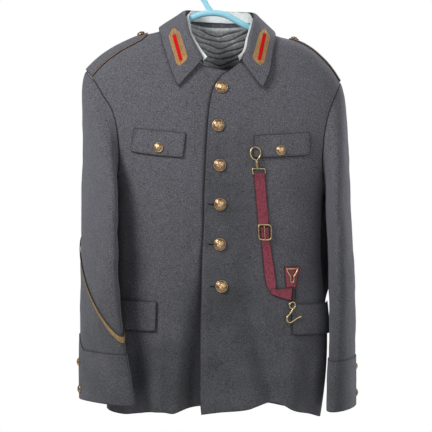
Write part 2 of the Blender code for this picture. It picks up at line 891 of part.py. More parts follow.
def shoulder_strap(name, surface, seam, neck_x, rear_y, front_y, cloth):
    """A strap from the armhole's seam over the shoulder, pointed at the neck end."""
    share = np.array([0, 0.15, 0.3, 0.45, 0.6, 0.75, 0.88, 0.95, 1.0])
    width = np.array([1, 1, 0.99, 0.98, 0.96, 0.94, 0.9, 0.62, 0.2])
    middle, half = (rear_y + front_y) / 2, (front_y - rear_y) / 2
    near_top = np.concatenate([seam[-4:], seam[:5]])
    near_top = near_top[np.argsort(near_top[:, 1])]
    inward = np.sign(neck_x - near_top[4, 0])
    inside, away = [], []
    for side in np.linspace(-1, 1, 6):
        y = middle + half * width * side
        arm_x = np.interp(y[0], near_top[:, 1], near_top[:, 0]) + 1.5 * inward
        x = arm_x + (neck_x - arm_x) * share
        found = [surface.from_above(a, b, LAY) for a, b in zip(x, y)]
        inside.append([place for place, _ in found])
        away.append([normal for _, normal in found])
    inside, away = np.array(inside), np.array(away)
    inside += away * surface.settle(inside, away, SEAM + 0.05)
    outside = inside + away * STRAP_THICK
    between(name, outside, inside, cloth)
    return outside


def turned(name, place, normal, profile, sides, metal):
    """A round piece turned on its normal from (radius, height) rows."""
    normal = Vector(normal).normalized()
    across_it = normal.orthogonal().normalized()
    beside = normal.cross(across_it)
    points, faces = [], []
    rings = profile[1:-1]
    points.append(np.array(place + np.array(normal) * profile[0][1]))
    for radius, height in rings:
        for k in range(sides):
            turn = 2 * math.pi * k / sides
            arm = across_it * (math.cos(turn) * radius) + beside * (math.sin(turn) * radius)
            points.append(place + np.array(arm + normal * height))
    points.append(place + np.array(normal) * profile[-1][1])
    last = len(points) - 1
    for k in range(sides):
        m = (k + 1) % sides
        faces.append([0, 1 + m, 1 + k])
        for j in range(len(rings) - 1):
            a = 1 + j * sides
            faces.append([a + k, a + m, a + sides + m, a + sides + k])
        top = 1 + (len(rings) - 1) * sides
        faces.append([last, top + k, top + m])
    return add_object(name, points, faces, metal)


def button(name, place, normal, across_mm, metal):
    r = across_mm / 2
    tall = across_mm * 0.3
    profile = [
        (0, 0),
        (r * 0.72, 0),
        (r, tall * 0.25),
        (r * 0.9, tall * 0.52),
        (r * 0.62, tall * 0.86),
        (0, tall),
    ]
    sides = 16 if across_mm > 20 else 12
    turned(name, place, normal, profile, sides, metal)


def tube(name, path, radius, closed, metal, sides=8, deep=None):
    """A round bar along points; deep makes it an oval across the path's plane."""
    path = np.array(path, float)
    count = len(path)
    if closed:
        ahead = np.roll(path, -1, axis=0) - np.roll(path, 1, axis=0)
    else:
        ahead = np.gradient(path, axis=0)
    ahead /= np.linalg.norm(ahead, axis=-1, keepdims=True)
    fixed = np.array([0, 1.0, 0])
    points = []
    for p, a in zip(path, ahead):
        side = np.cross(a, fixed)
        side /= np.linalg.norm(side)
        cross_way = np.cross(side, a)
        for k in range(sides):
            turn = 2 * math.pi * (k + 0.5) / sides
            points.append(
                p + side * math.cos(turn) * radius + cross_way * math.sin(turn) * (deep or radius)
            )
    faces = []
    for j in range(count if closed else count - 1):
        n = (j + 1) % count
        for k in range(sides):
            m = (k + 1) % sides
            faces.append([j * sides + k, j * sides + m, n * sides + m, n * sides + k])
    if not closed:
        faces.append([k for k in range(sides)][::-1])
        faces.append([(count - 1) * sides + k for k in range(sides)])
    return add_object(name, points, faces, metal)


def wire(name, surface, route, lift, radius, closed, metal):
    """A bent wire over (x, z) points, its middle lifted off a surface."""
    path = [surface.from_front(x, z, lift + radius)[0] for x, z in route]
    return tube(name, path, radius, closed, metal, sides=6)


def oval(x, z, half_x, half_z, count, start=0.0, turn=360.0):
    angles = np.radians(start + np.arange(count) * turn / (count if turn == 360 else count - 1))
    return [(x + half_x * math.cos(a), z + half_z * math.sin(a)) for a in angles]


def strip(name, surface, stations, lift, thick, cloth):
    """A strap over a surface; stations are (x, z, width, slant in degrees)."""
    places = []
    for x, z, width, slant in stations:
        way = np.array([math.cos(math.radians(slant)), math.sin(math.radians(slant))])
        places.append([np.array([x, z]) + way * width * share for share in (-0.5, 0, 0.5)])
    return laid(name, surface, np.array(places), lift, thick, cloth)


# Sword strap, clipped at the left chest flap


def sword_strap(surface, leather, brass):
    on_flap = CLOTH + LAY + 0.5
    clip = oval(80.6, -339, 9.5, 11, 10, 300, 300)
    wire("strap_clip", surface, clip + [(82, -352), (83, -359), (84, -364.5)], on_flap, 1.4, False, brass)
    frame = [(75, -367.5), (86, -367.2), (99, -368.2), (99.5, -377.5), (88, -377.8), (76, -377)]
    wire("strap_loop", surface, frame, LAY, 1.2, True, brass)
    upper = [
        (88.6, -380.6, 22, 0),
        (90.2, -400, 22, 0),
        (92.4, -425, 22, 0),
        (94.6, -449, 22, 0),
        (96.2, -468.4, 22, 0),
    ]
    strip("strap_upper", surface, upper, LAY, 2.0, leather)
    frame = [(86.5, -472), (98, -471.6), (109.8, -473), (110.2, -500), (98, -501), (87.4, -499.5)]
    wire("strap_buckle", surface, frame, LAY, 1.3, True, brass)
    wire("strap_prong", surface, [(97, -474.6), (97.6, -484), (98.4, -497.6)], 3.2, 0.9, False, brass)
    keeper = [
        (97.2, -474.8, 17.7, 0),
        (98.6, -486, 17.7, 0),
        (99.6, -497.6, 17.7, 0),
    ]
    strip("strap_keeper", surface, keeper, LAY, 2.0, leather)
    lower = [
        (100.4, -504, 17.7, 0),
        (103, -525, 18.5, 0),
        (106.3, -551, 20, 0),
        (109.6, -577, 21.3, 0),
        (111, -590, 18, -12),
        (112, -599, 12, -28),
    ]
    strip("strap_lower", surface, lower, LAY, 2.0, leather)
    corner = [
        (121, -601, 10, 76),
        (128, -601, 15, 76),
        (137, -602, 20, 78),
        (150.5, -604, 25, 84),
    ]
    strip("strap_end", surface, corner, LAY, 2.0, leather)
    tab = [
        (151, -550.7, 31, 0),
        (150.4, -558, 30, 0),
        (149.4, -572, 25, 0),
        (148.4, -590, 20, 0),
    ]
    strip("strap_tab", surface, tab, LAY, 2.0, leather)
    triangle = [(139, -556), (150, -555.4), (161, -556), (158, -563), (152.6, -572), (151.6, -580),
                (149.4, -580), (148.2, -572), (142, -563)]
    wire("strap_triangle", surface, triangle, LAY + 2.4, 1.0, True, brass)
    hook = [(150.6, -634.6), (144.8, -640.2), (139.6, -646.5), (139.4, -653), (144.6, -656.8),
            (150.6, -653.6), (158, -648.8), (166, -645)]
    wire("strap_hook", surface, hook, on_flap + 0.6, 1.5, False, brass)
    wire("strap_hook_eye", surface, oval(150, -624.6, 5.4, 6, 10), on_flap + 0.6, 1.2, True, brass)


def sleeve_band(leather):
    """A narrow strap slung slantwise round the right sleeve."""
    count = 40
    outside, inside = [], []
    for row in (-4.6, 4.6):
        for rows, grow in ((outside, LAY + 0.3 + 1.6), (inside, LAY + 0.3)):
            ring = []
            for k in range(count):
                turn = 2 * math.pi * k / count
                z = -589 - 94 * math.sin(turn) + row
                ring.append(sleeve_ring(RIGHT_SLEEVE, z, 1, grow, count)[k])
            rows.append(ring)
    between("sleeve_band", np.array(outside), np.array(inside), leather, closed=True)


# Hanger


def hanger(plastic):
    """Arms under the shoulders, and a hook joined to them."""
    route = []
    for point in ARM_TOP:
        z = point.z or read_table(SHOULDER_LINE, "x", point.x, "z") - CLOTH - HANGER_DROP
        route.append((point.x, 0, float(z) - ARM_TALL / 2))
    path = curve(route)(np.linspace(0, 1, 26))
    arms = tube("hanger", path, ARM_TALL / 2, False, plastic, sides=10, deep=ARM_DEEP / 2)
    bend = HOOK_INSIDE + HOOK_BAR / 2
    middle = -HOOK_INSIDE
    arc = []
    for degrees in np.linspace(226, -38, 16):
        a = math.radians(degrees)
        arc.append((bend * math.cos(a), 0, middle + bend * math.sin(a)))
    stem = [(-1, 0, -62), (-5, 0, -54), (-10, 0, -46)]
    path = curve(stem + arc)(np.linspace(0, 1, 20))
    hook = tube("hanger_hook", path, HOOK_BAR / 2, False, plastic, sides=10, deep=ARM_DEEP / 2 - 0.4)
    joint = arms.modifiers.new("hook", "BOOLEAN")
    joint.operation = "UNION"
    joint.solver = "EXACT"
    joint.object = hook
    hook.hide_render = True
    hook.display_type = "WIRE"


def patches(surface, gold, red):
    """Pointed collar patches with a bar, as strips with tapering stations."""
    shapes = {
        "right": (
            [(-73, -99, 2.5, 14), (-71.5, -111, 21, 14), (-63.5, -137, 21.5, 14), (-56.5, -161, 22, 14),
             (-61.6, -177, 3, 14)],
            [(-71, -115, 6, 14), (-64.5, -138.5, 6, 14), (-58, -162, 6, 14)],
        ),
        "left": (
            [(100, -98.5, 2.5, -14), (99.6, -112, 20, -14), (93.8, -137, 21, -14), (87.4, -161.5, 21.5, -14),
             (92, -176, 3, -14)],
            [(99.4, -111, 6, -12), (94.3, -136, 6, -12), (89, -160.5, 6, -12)],
        ),
    }
    for hand, (field, bar) in shapes.items():
        grid = strip(f"collar_patch_{hand}", surface, field, SEAM, 0.9, gold)
        strip(f"patch_bar_{hand}", Surface(grid), bar, SEAM, 0.9, red)


def main():
    for thing in list(bpy.data.objects):
        bpy.data.objects.remove(thing, do_unlink=True)
    wool = finish("grey wool", (0.105, 0.105, 0.12), 0.9)
    white = finish("white liner", (0.85, 0.84, 0.8), 0.7)
    grey_lining = finish("grey lining", (0.16, 0.165, 0.165), 0.7)
    copper = finish("gilt copper", (0.72, 0.4, 0.2), 0.3, 1.0)
    brass = finish("brass", (0.6, 0.46, 0.25), 0.35, 1.0)
    gold = finish("gold thread", (0.55, 0.36, 0.16), 0.6, 0.3)
    red = finish("red cloth", (0.6, 0.01, 0.02), 0.8)
    maroon = finish("maroon leather", (0.2, 0.035, 0.07), 0.55)
    brown = finish("brown leather", (0.23, 0.14, 0.06), 0.5)
    plastic = finish("light blue plastic", (0.25, 0.62, 0.8), 0.35)

    right = front_panel(
        UNDERLAP_EDGE, RIGHT_LEAD, UNDERLAP_COLUMNS, RIGHT_NECK, RIGHT_HEM, RIGHT_ARMHOLE, RIGHT_FOLDS
    )
    edge = curve(OVERLAP_EDGE)(np.linspace(0, 1, 200))
    edge_x = np.interp(-right[..., 2], -edge[:, 1], edge[:, 0])
    right[..., 1] += UNDERLAP_DROP * ease((right[..., 0] - edge_x + 38) / 34)
    left = front_panel(
        OVERLAP_EDGE, LEFT_LEAD, OVERLAP_COLUMNS, LEFT_NECK, LEFT_HEM, LEFT_ARMHOLE, LEFT_FOLDS
    )
    back = back_panel()
    right, left, back = keep_side(right, -1), keep_side(left, -1), keep_side(back, 1)
    right_away = panel("front_right", right, -1, wool)
    left_away = panel("front_left", left, -1, wool)
    back_away = panel("back", back, 1, wool)
    lining(back, back_away, grey_lining)

    ring = armhole_ring(right, right_away, back[:, ::-1], back_away[:, ::-1], -1)
    seam_right = ring[0]
    sleeve_right = sleeve_grid(RIGHT_SLEEVE, 1, *ring)
    sleeve("sleeve_right", sleeve_right, ring[1], wool)
    ring = armhole_ring(left, left_away, back, back_away, -1)
    seam_left = ring[0]
    sleeve_left = sleeve_grid(LEFT_SLEEVE, -1, *ring)
    sleeve("sleeve_left", sleeve_left, ring[1], wool)
    cuff("cuff_right", RIGHT_SLEEVE, 1, RIGHT_CUFF_TOP, RIGHT_CUFF_SCROLL, wool)
    cuff("cuff_left", LEFT_SLEEVE, -1, LEFT_CUFF_TOP, 0, wool)

    body = Surface(left, right, back)
    fall = collar(neckline(right, left, back), body, wool, white)
    patches(Surface(fall), gold, red)

    for number, spot in enumerate(FRONT_BUTTONS, 1):
        place, normal = body.from_front(spot.x, spot.z, 0.5)
        button(f"front_button_{number}", place, normal, FRONT_BUTTON, copper)
    for hand, corners in CHEST_FLAPS.items():
        grid = laid(f"chest_flap_{hand}", body, quad_places(corners, 4, 9), LAY, CLOTH, wool)
        spot = CHEST_BUTTONS[hand]
        place, normal = Surface(grid).from_front(spot.x, spot.z, 0.5)
        button(f"chest_button_{hand}", place, normal, CHEST_BUTTON, copper)
    hip_flap("hip_flap_right", *HIP_FLAPS["right"], RIGHT_FOLDS, wool)
    hip_flap("hip_flap_left", *HIP_FLAPS["left"], LEFT_FOLDS, wool)

    straps = {
        "right": (seam_right, -124, 6, -40, -137),
        "left": (seam_left, 150, 28, -16, 161),
    }
    for hand, (seam, neck_x, rear_y, front_y, button_x) in straps.items():
        grid = shoulder_strap(f"shoulder_strap_{hand}", body, seam, neck_x, rear_y, front_y, wool)
        place, normal = Surface(grid).from_above(button_x, (rear_y + front_y) / 2, 0.9)
        button(f"strap_button_{hand}", place, normal, STRAP_BUTTON, copper)

    for hand, cuts, way in (("right", RIGHT_SLEEVE, 1), ("left", LEFT_SLEEVE, -1)):
        for number, z in enumerate((-737, -788), 1):
            z = z if hand == "right" else z - 14
            ring = sleeve_ring(cuts, z, way, SEAM + 0.3 + THIN_CLOTH + 0.5, 48)
            place = ring[41]
            normal = np.cross(ring[42] - ring[40], [0, 0, 1.0])
            if normal @ (place - ring.mean(axis=0)) < 0:
                normal = -normal
            button(f"cuff_button_{hand}_{number}", place, normal, CUFF_BUTTON, copper)

    sword_strap(Surface(left), maroon, brass)
    sleeve_band(brown)
    hanger(plastic)


main()
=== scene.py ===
"""Looks of the grey wool uniform jacket on its hanger.

Tables are in millimetres and are turned into metres when a mesh is made. +X is the
wearer's left, -Y is the front, +Z is up, and the hook's inside top is the origin.
"right" and "left" in names are the wearer's.
"""

import math
from collections import namedtuple

import bmesh
import bpy
import numpy as np
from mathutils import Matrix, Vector, noise
from mathutils.bvhtree import BVHTree


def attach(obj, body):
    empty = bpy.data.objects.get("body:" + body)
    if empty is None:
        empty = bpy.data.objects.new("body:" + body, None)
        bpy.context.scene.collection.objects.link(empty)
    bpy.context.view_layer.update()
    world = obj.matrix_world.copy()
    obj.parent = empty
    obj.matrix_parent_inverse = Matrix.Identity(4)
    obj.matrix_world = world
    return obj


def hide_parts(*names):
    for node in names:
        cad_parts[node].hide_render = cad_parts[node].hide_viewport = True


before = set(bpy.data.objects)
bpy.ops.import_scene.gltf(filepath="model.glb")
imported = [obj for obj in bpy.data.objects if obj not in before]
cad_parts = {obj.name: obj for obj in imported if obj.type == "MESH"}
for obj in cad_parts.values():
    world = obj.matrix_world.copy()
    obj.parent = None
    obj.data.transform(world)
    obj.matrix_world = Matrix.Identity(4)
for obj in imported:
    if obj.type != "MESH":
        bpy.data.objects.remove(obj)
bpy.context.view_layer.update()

MM = 0.001

# Cloth and gaps
CLOTH = 2.0
CUFF_CLOTH = 1.3
SEAM = 0.3
LAY = 0.6
EDGE_ROUND = 0.8
# How far the painted shade along a cloth's edges reaches in
EDGE_SHADE_REACH = 2.6
BODY_X = 6.0
HEM_Z = -830
SHOULDER_ROLL = 130.0
TO_FRONT = np.array([0, -1.0, 0])
TO_BACK = np.array([0, 1.0, 0])
HIP_MIDDLE = np.array([BODY_X, 0, -640.0])

# Lines of points: down the armhole, down the side, and across each part of a panel
ARM_ROWS = 56
SIDE_ROWS = 84
UNDERLAP_COLUMNS = 10
OVERLAP_COLUMNS = 12
NECK_COLUMNS = 22
SHOULDER_COLUMNS = 40
BACK_NECK_COLUMNS = 32
BACK_SHOULDER_COLUMNS = 40
HEAD_ROWS = 44
ARM_LENGTH_ROWS = 96

# The garment's level sections, from the neck down to the hem.
Section = namedtuple("Section", "z low_x high_x front back square")
BODY = [
    Section(-60, -306, 310, 88, 86, 2.4),
    Section(-180, -300, 306, 90, 88, 2.4),
    Section(-240, -262, 290, 95, 93, 2.4),
    Section(-300, -230, 262, 99, 97, 2.5),
    Section(-350, -208, 236, 101, 98, 2.5),
    Section(-406, -190, 216, 100, 96, 2.5),
    Section(-460, -188, 213, 97, 91, 2.5),
    Section(-540, -187, 212, 93, 86, 2.4),
    Section(-610, -187, 219, 95, 88, 2.4),
    Section(-670, -189, 224, 98, 92, 2.5),
    Section(-740, -195, 223, 101, 96, 2.6),
    Section(-800, -203, 217.5, 104, 100, 2.6),
    Section(-850, -207, 210, 106, 102, 2.6),
]

# Height of the shoulder line; between the neck points it only steers the neckline.
Point = namedtuple("Point", "x z")
SHOULDER_LINE = [
    Point(*row)
    for row in (
        (-262, -198), (-246, -176), (-229, -158), (-211, -143), (-183, -126), (-146, -109),
        (-127, -103), (-103, -97), (-60, -74), (15, -52), (91, -83), (121, -104), (148, -112),
        (161, -115), (189, -129), (215, -151), (233, -172), (250, -198), (262, -220),
    )
]

# Armholes from the shoulder point to the underarm, and the fronts' own edges.
RIGHT_ARMHOLE = [
    (-245, -175), (-222, -202), (-205, -230), (-192, -250), (-184, -272), (-179, -296),
    (-176, -332), (-177, -362), (-182, -388), (-190, -406),
]
LEFT_ARMHOLE = [
    (249, -197), (238, -222), (227, -247), (219, -272), (214, -298), (211, -323),
    (210, -347), (212, -377), (216, -406),
]
OVERLAP_EDGE = [
    (10, -202), (1, -223), (-4, -247), (-7, -273), (-10, -314), (-12, -356), (-14, -398),
    (-16, -482), (-19, -538), (-20, -596), (-22, -671), (-22.5, -748), (-22, -806), (-20, -827),
]
UNDERLAP_EDGE = [(42, -184), (40, -300), (38, -480), (34, -660), (32, -816)]
UNDERLAP_DROP = 3.4
LEAST_OF_CUT = 0.31
RIGHT_LEAD = [(42, -184), (13, -179), (-16, -173)]
LEFT_LEAD = [(10, -202), (19, -191), (30, -184), (50, -168)]
RIGHT_NECK = [(-16, -173), (-32, -158), (-46, -137), (-56, -108), (-60, -74)]
LEFT_NECK = [(50, -168), (70, -158), (84, -137), (90, -109), (91, -83)]
BACK_NECK = [(-60, -74), (-48, -79), (-20, -84), (15, -86), (50, -86), (79, -85), (91, -83)]
RIGHT_HEM = [
    (32, -816), (-20, -812), (-38, -817), (-58, -822), (-72, -826), (-92, -823),
    (-112, -823), (-150, -830), (-185, -829), (-207, -826),
]
LEFT_HEM = [
    (-20, -827), (13, -823), (50, -820), (70, -817), (87, -812), (110, -808), (134, -812),
    (148, -819), (163, -825), (190, -833), (210, -842),
]
BACK_HEM = [(-207, -826), (-140, -832), (-60, -829), (10, -835), (90, -832), (160, -838), (210, -842)]

# Folds: a trough has positive depth. They start at start_z and are full at the hem.
Fold = namedtuple("Fold", "top_x hem_x start_z depth width")
RIGHT_FOLDS = [
    Fold(-20, -40, -520, 26, 19),
    Fold(-92, -102, -560, -9, 15),
    Fold(-150, -146, -600, 13, 14),
    Fold(-120, -128, -420, 3, 16),
]
LEFT_FOLDS = [
    Fold(60, 112, -560, 21, 19),
    Fold(150, 152, -640, -7, 14),
    Fold(60, 62, -600, -4, 20),
    Fold(185, 180, -660, 5, 12),
]
BACK_FOLDS = [
    Fold(-150, -150, -500, 13, 19),
    Fold(-75, -82, -460, -9, 24),
    Fold(5, -8, -430, 12, 26),
    Fold(84, 80, -500, -8, 22),
    Fold(150, 146, -480, 13, 18),
]

# Sleeve sections: reach is along the wide way, half across it.
Cut = namedtuple("Cut", "z x y reach half yaw")
RIGHT_SLEEVE = [
    Cut(-430, -217, -30, 88, 22, 24),
    Cut(-500, -217, -38, 86, 23, 24),
    Cut(-590, -215, -48, 82, 24, 26),
    Cut(-690, -209, -61, 80, 23, 33),
    Cut(-750, -204, -69, 79, 21, 39),
    Cut(-807, -199, -76, 78, 19, 44),
]
LEFT_SLEEVE = [
    Cut(-430, 244, -8, 86, 24, 8),
    Cut(-500, 248, -10, 83, 24, 9),
    Cut(-590, 252, -14, 80, 24, 11),
    Cut(-690, 252, -20, 77, 23, 14),
    Cut(-760, 250, -26, 74, 22, 17),
    Cut(-823, 249, -31, 72, 21, 20),
]
RIGHT_CUFF_TOP = -711
RIGHT_CUFF_SCROLL = 27
LEFT_CUFF_TOP = -727
CUFF_OUT = SEAM + 0.3 + CUFF_CLOTH
CUFF_BUTTON_LEVELS = {"right": (-737, -788), "left": (-751, -802)}

# Collar: the fold along its top and the fall's outer edge, from right front to left front.
COLLAR_FOLD = [
    (-16, -84, -163), (-29, -77, -142), (-42, -64, -115), (-49, -45, -88), (-51, 2, -60),
    (-34, 40, -54), (15, 56, -53), (63, 40, -57), (81, 2, -65), (79, -43, -92),
    (72, -64, -119), (66, -77, -146), (54, -84, -163),
]
FALL_EDGE = [
    (-64, -90, -214), (-76, -84, -185), (-88, -70, -149), (-98, -42, -113), (-102, 0, -89),
    (-74, 54, -98), (15, 76, -106), (104, 54, -104), (121, 0, -98), (118, -42, -125),
    (114, -70, -156), (108, -84, -188), (95, -90, -218),
]
FALL_CLOTH = 1.6
STAND_HALF = 0.9
STAND_LIFT = 2.9
LINER_RISE = 3.4
LINER_GAP = 1.5
LINER_FRONT = 7.0
LINER_BACK = 20.0
LINER_LEAN = 8.6
LINER_LEAN_LESS = 3.0
RIGHT_FOLD_OUT = 3.4

# Flaps' corners: top inner, top outer, bottom outer, bottom inner.
CHEST_FLAPS = {
    "right": [(-48, -301), (-146, -290), (-153, -335), (-54, -347)],
    "left": [(78, -305), (184, -298), (186, -341), (76, -347)],
}
HIP_FLAPS = {"right": (-0.38, -1.10, -616, -673), "left": (0.456, 1.10, -622, -681)}

FRONT_BUTTONS = [(18.4, -214), (11.7, -286), (14.5, -361), (15.5, -434), (14.7, -509), (17.9, -588)]
CHEST_BUTTONS = {"right": (-100, -328), "left": (129, -333)}
STRAP_THICK = 3.0
FRONT_BUTTON = 23.0
CHEST_BUTTON = 18.0
CUFF_BUTTON = 15.0
STRAP_BUTTON = 16.0
BUTTONHOLES = (3, 4, 5)
STITCH_LIFT = 0.06

# Hanger
HOOK_INSIDE = 18.0
HOOK_BAR = 11.0
ARM_TALL = 12.5
ARM_DEEP = 9.0
HANGER_DROP = 3.2
# The arms' top line; where no height is given they follow the shoulder line.
ARM_TOP = [
    (-190, None), (-150, None), (-103, None), (-62, None), (-46, -68), (-25, -58), (0, -54.5),
    (25, -58), (50, -71), (70, -82), (93, None), (121, None), (160, None), (202, None),
]

# Creases pressed into the cloth: from (x, z) to (to_x, to_z); a ridge is negative.
Crease = namedtuple("Crease", "x z to_x to_z depth width")
RIGHT_CREASES = [
    Crease(-168, -420, -160, -700, 2.6, 11),
    Crease(-150, -250, -132, -420, -1.6, 17),
    Crease(-171, -330, -128, -300, 1.7, 8),
    Crease(-92, -360, -84, -600, -1.5, 21),
    Crease(-20, -480, -70, -560, 2.2, 12),
    Crease(-14, -455, -78, -500, 1.2, 9),
    Crease(-26, -600, -60, -540, -1.3, 13),
    Crease(-120, -520, -96, -640, 1.4, 15),
    Crease(-58, -190, -70, -290, -1.1, 14),
    Crease(-110, -150, -160, -190, 0.9, 11),
    Crease(-180, -560, -120, -600, 1.0, 8),
    Crease(-150, -700, -100, -800, -1.2, 12),
    Crease(-128, -360, -127, -612, 0.6, 2.8),
]
LEFT_CREASES = [
    Crease(196, -400, 190, -660, 2.4, 12),
    Crease(206, -300, 160, -285, 1.5, 8),
    Crease(60, -230, 52, -520, -1.6, 18),
    Crease(33, -250, 62, -285, 1.3, 8),
    Crease(30, -300, 74, -360, 0.9, 10),
    Crease(30, -600, 86, -560, 1.6, 11),
    Crease(32, -520, 70, -470, 0.9, 10),
    Crease(150, -360, 146, -600, -1.4, 22),
    Crease(120, -420, 128, -540, 1.2, 15),
    Crease(130, -160, 178, -200, 1.0, 12),
    Crease(170, -700, 196, -820, 1.3, 10),
    Crease(10, -660, 24, -800, -1.2, 15),
    Crease(160, -366, 158, -616, 0.6, 2.8),
]
BACK_CREASES = [
    Crease(-170, -360, -60, -420, 3.6, 15),
    Crease(190, -350, 80, -410, 3.4, 15),
    Crease(-120, -180, -90, -330, -2.8, 21),
    Crease(140, -190, 118, -340, -2.6, 20),
    Crease(-60, -470, 20, -500, 3.0, 12),
    Crease(100, -480, 10, -520, 2.6, 13),
    Crease(-170, -560, -90, -600, 2.4, 12),
    Crease(180, -570, 110, -620, 2.5, 12),
    Crease(15, -130, 12, -300, 1.1, 18),
    Crease(-30, -560, -42, -780, -2.8, 16),
    Crease(60, -580, 52, -800, 2.6, 15),
    Crease(-172, -420, -172, -600, -5, 15),
]
# On a sleeve x is the way round it, 0 to 360 degrees from its outer side through the front.
MM_PER_DEGREE = 1.2
RIGHT_SLEEVE_CREASES = [
    Crease(60, -440, 150, -500, 3.0, 13),
    Crease(40, -510, 140, -560, 2.6, 12),
    Crease(70, -590, 180, -560, 1.8, 12),
    Crease(120, -250, 170, -400, -1.8, 16),
    Crease(60, -640, 110, -690, 1.5, 10),
    Crease(200, -430, 290, -520, 2.6, 14),
    Crease(210, -560, 320, -520, 2.2, 12),
    Crease(180, -600, 240, -690, 1.5, 14),
    Crease(300, -330, 320, -480, -1.6, 15),
    Crease(150, -720, 110, -790, 1.0, 12),
]
LEFT_SLEEVE_CREASES = [
    Crease(50, -460, 140, -510, 2.8, 13),
    Crease(70, -560, 160, -530, 2.2, 12),
    Crease(110, -270, 160, -430, -1.7, 16),
    Crease(60, -620, 120, -680, 1.6, 11),
    Crease(200, -450, 300, -530, 2.6, 14),
    Crease(220, -580, 320, -540, 2.0, 12),
    Crease(190, -640, 250, -720, 1.4, 13),
    Crease(110, -740, 150, -800, 1.1, 12),
    Crease(205, -420, 205, -650, -6, 32),
]

# The photograph's frame: its width in pixels, and metres per pixel at the jacket's front.
PHOTO_WIDE = 432
FRONT_PIXEL = 0.0019
FRONT_DISTANCE = 2.4
SENSOR = 36

# The floor's round slab
FLOOR_Z = -1150.0
FLOOR_REACH = 1500
FLOOR_THICK = 8.0


# Curves and tables


def eased_between(s, start, start_rate, end, end_rate):
    """A smooth step from start to end as s goes from 0 to 1, with given rates at both ends."""
    return (
        start * (2 * s**3 - 3 * s**2 + 1)
        + start_rate * (s**3 - 2 * s**2 + s)
        + end * (3 * s**2 - 2 * s**3)
        + end_rate * (s**3 - s**2)
    )


def curve(points):
    """A smooth curve through the points; returns a function of 0 to 1 by length."""
    p = np.array(points, float)
    step = np.linalg.norm(np.diff(p, axis=0), axis=1)
    knot = np.concatenate([[0], np.cumsum(step)]) / step.sum()
    slope = np.zeros_like(p)
    rate = np.diff(p, axis=0) / np.diff(knot)[:, None]
    slope[0], slope[-1] = rate[0], rate[-1]
    for i in range(1, len(p) - 1):
        before, after = knot[i] - knot[i - 1], knot[i + 1] - knot[i]
        slope[i] = (rate[i - 1] * after + rate[i] * before) / (before + after)

    def at(t):
        t = np.clip(np.asarray(t, float), 0, 1)
        i = np.clip(np.searchsorted(knot, t, side="right") - 1, 0, len(p) - 2)
        width = knot[i + 1] - knot[i]
        s = ((t - knot[i]) / width)[..., None]
        width = width[..., None]
        return eased_between(s, p[i], slope[i] * width, p[i + 1], slope[i + 1] * width)

    at.knot = knot
    return at


def at_rows(table, places):
    """Points of a table's smooth curve at places counted in rows, such as 2.5."""
    through = curve(table)
    return through(np.interp(places, np.arange(len(table)), through.knot))


def read_table(rows, key, value, column):
    """One column of a table at the given values of its key column, smoothly."""
    rows = sorted(rows, key=lambda row: getattr(row, key))
    k = np.array([getattr(row, key) for row in rows], float)
    c = np.array([getattr(row, column) for row in rows], float)
    rate = np.diff(c) / np.diff(k)
    slope = np.concatenate([[rate[0]], (rate[1:] + rate[:-1]) / 2, [rate[-1]]])
    v = np.clip(np.asarray(value, float), k[0], k[-1])
    i = np.clip(np.searchsorted(k, v, side="right") - 1, 0, len(k) - 2)
    width = k[i + 1] - k[i]
    s = (v - k[i]) / width
    return eased_between(s, c[i], slope[i] * width, c[i + 1], slope[i + 1] * width)


def ease(value):
    """Smoothly 0 to 1."""
    v = np.clip(value, 0, 1)
    return v * v * (3 - 2 * v)


def spread(points, count):
    """Points evenly along a smooth curve."""
    return curve(points)(np.linspace(0, 1, count))


def unit(vectors):
    """Ways of length one."""
    return vectors / np.maximum(np.linalg.norm(vectors, axis=-1, keepdims=True), 1e-9)


def running(grid, axis):
    """Lengths along a grid, from its first row where axis is 0 and its first column where it is 1."""
    total = np.cumsum(np.linalg.norm(np.diff(grid, axis=axis), axis=-1), axis=axis)
    return np.concatenate([np.zeros_like(total[:, :1] if axis else total[:1]), total], axis=axis)


def denser(grid, count):
    """A grid with count rows, evenly between its own."""
    place = np.linspace(0, len(grid) - 1, count)
    i = np.minimum(place.astype(int), len(grid) - 2)
    return grid[i] + (grid[i + 1] - grid[i]) * (place - i)[:, None, None]


# The body's form


def half_width(q, z):
    """From the middle to the side that q points to."""
    low = BODY_X - read_table(BODY, "z", z, "low_x")
    high = read_table(BODY, "z", z, "high_x") - BODY_X
    return np.where(np.asarray(q) < 0, low, high)


def across(x, z):
    """The place across the body, -1 to 1 from side to side, of a point at x and z."""
    off = np.asarray(x, float) - BODY_X
    share = off / half_width(off, z)
    return np.arcsin(np.clip(share, -1, 1)) * 2 / math.pi


def body_form(q, z, side, folds):
    """Points on the cloth's outside. side is -1 in front and 1 behind."""
    q, z = np.broadcast_arrays(np.asarray(q, float), np.asarray(z, float))
    swing = np.sin(q * math.pi / 2)
    x = BODY_X + half_width(q, z) * swing
    square = read_table(BODY, "z", z, "square")
    round_off = np.clip(1 - np.abs(swing) ** square, 0, 1) ** (1 / square)
    rise = np.clip(read_table(SHOULDER_LINE, "x", x, "z") - z, 0, None) / SHOULDER_ROLL
    roll = np.sqrt(1 - np.exp(-2 * rise))
    depth = read_table(BODY, "z", z, "front" if side < 0 else "back")
    y = side * depth * round_off * roll
    fade = ease((1 - np.abs(q)) / 0.12)
    for fold in folds:
        grown = ease((fold.start_z - z) / (fold.start_z - HEM_Z))
        middle = fold.top_x + (fold.hem_x - fold.top_x) * grown
        y = y - side * fold.depth * grown * fade * np.exp(-(((x - middle) / fold.width) ** 2))
    return np.stack([x, y, z], axis=-1)


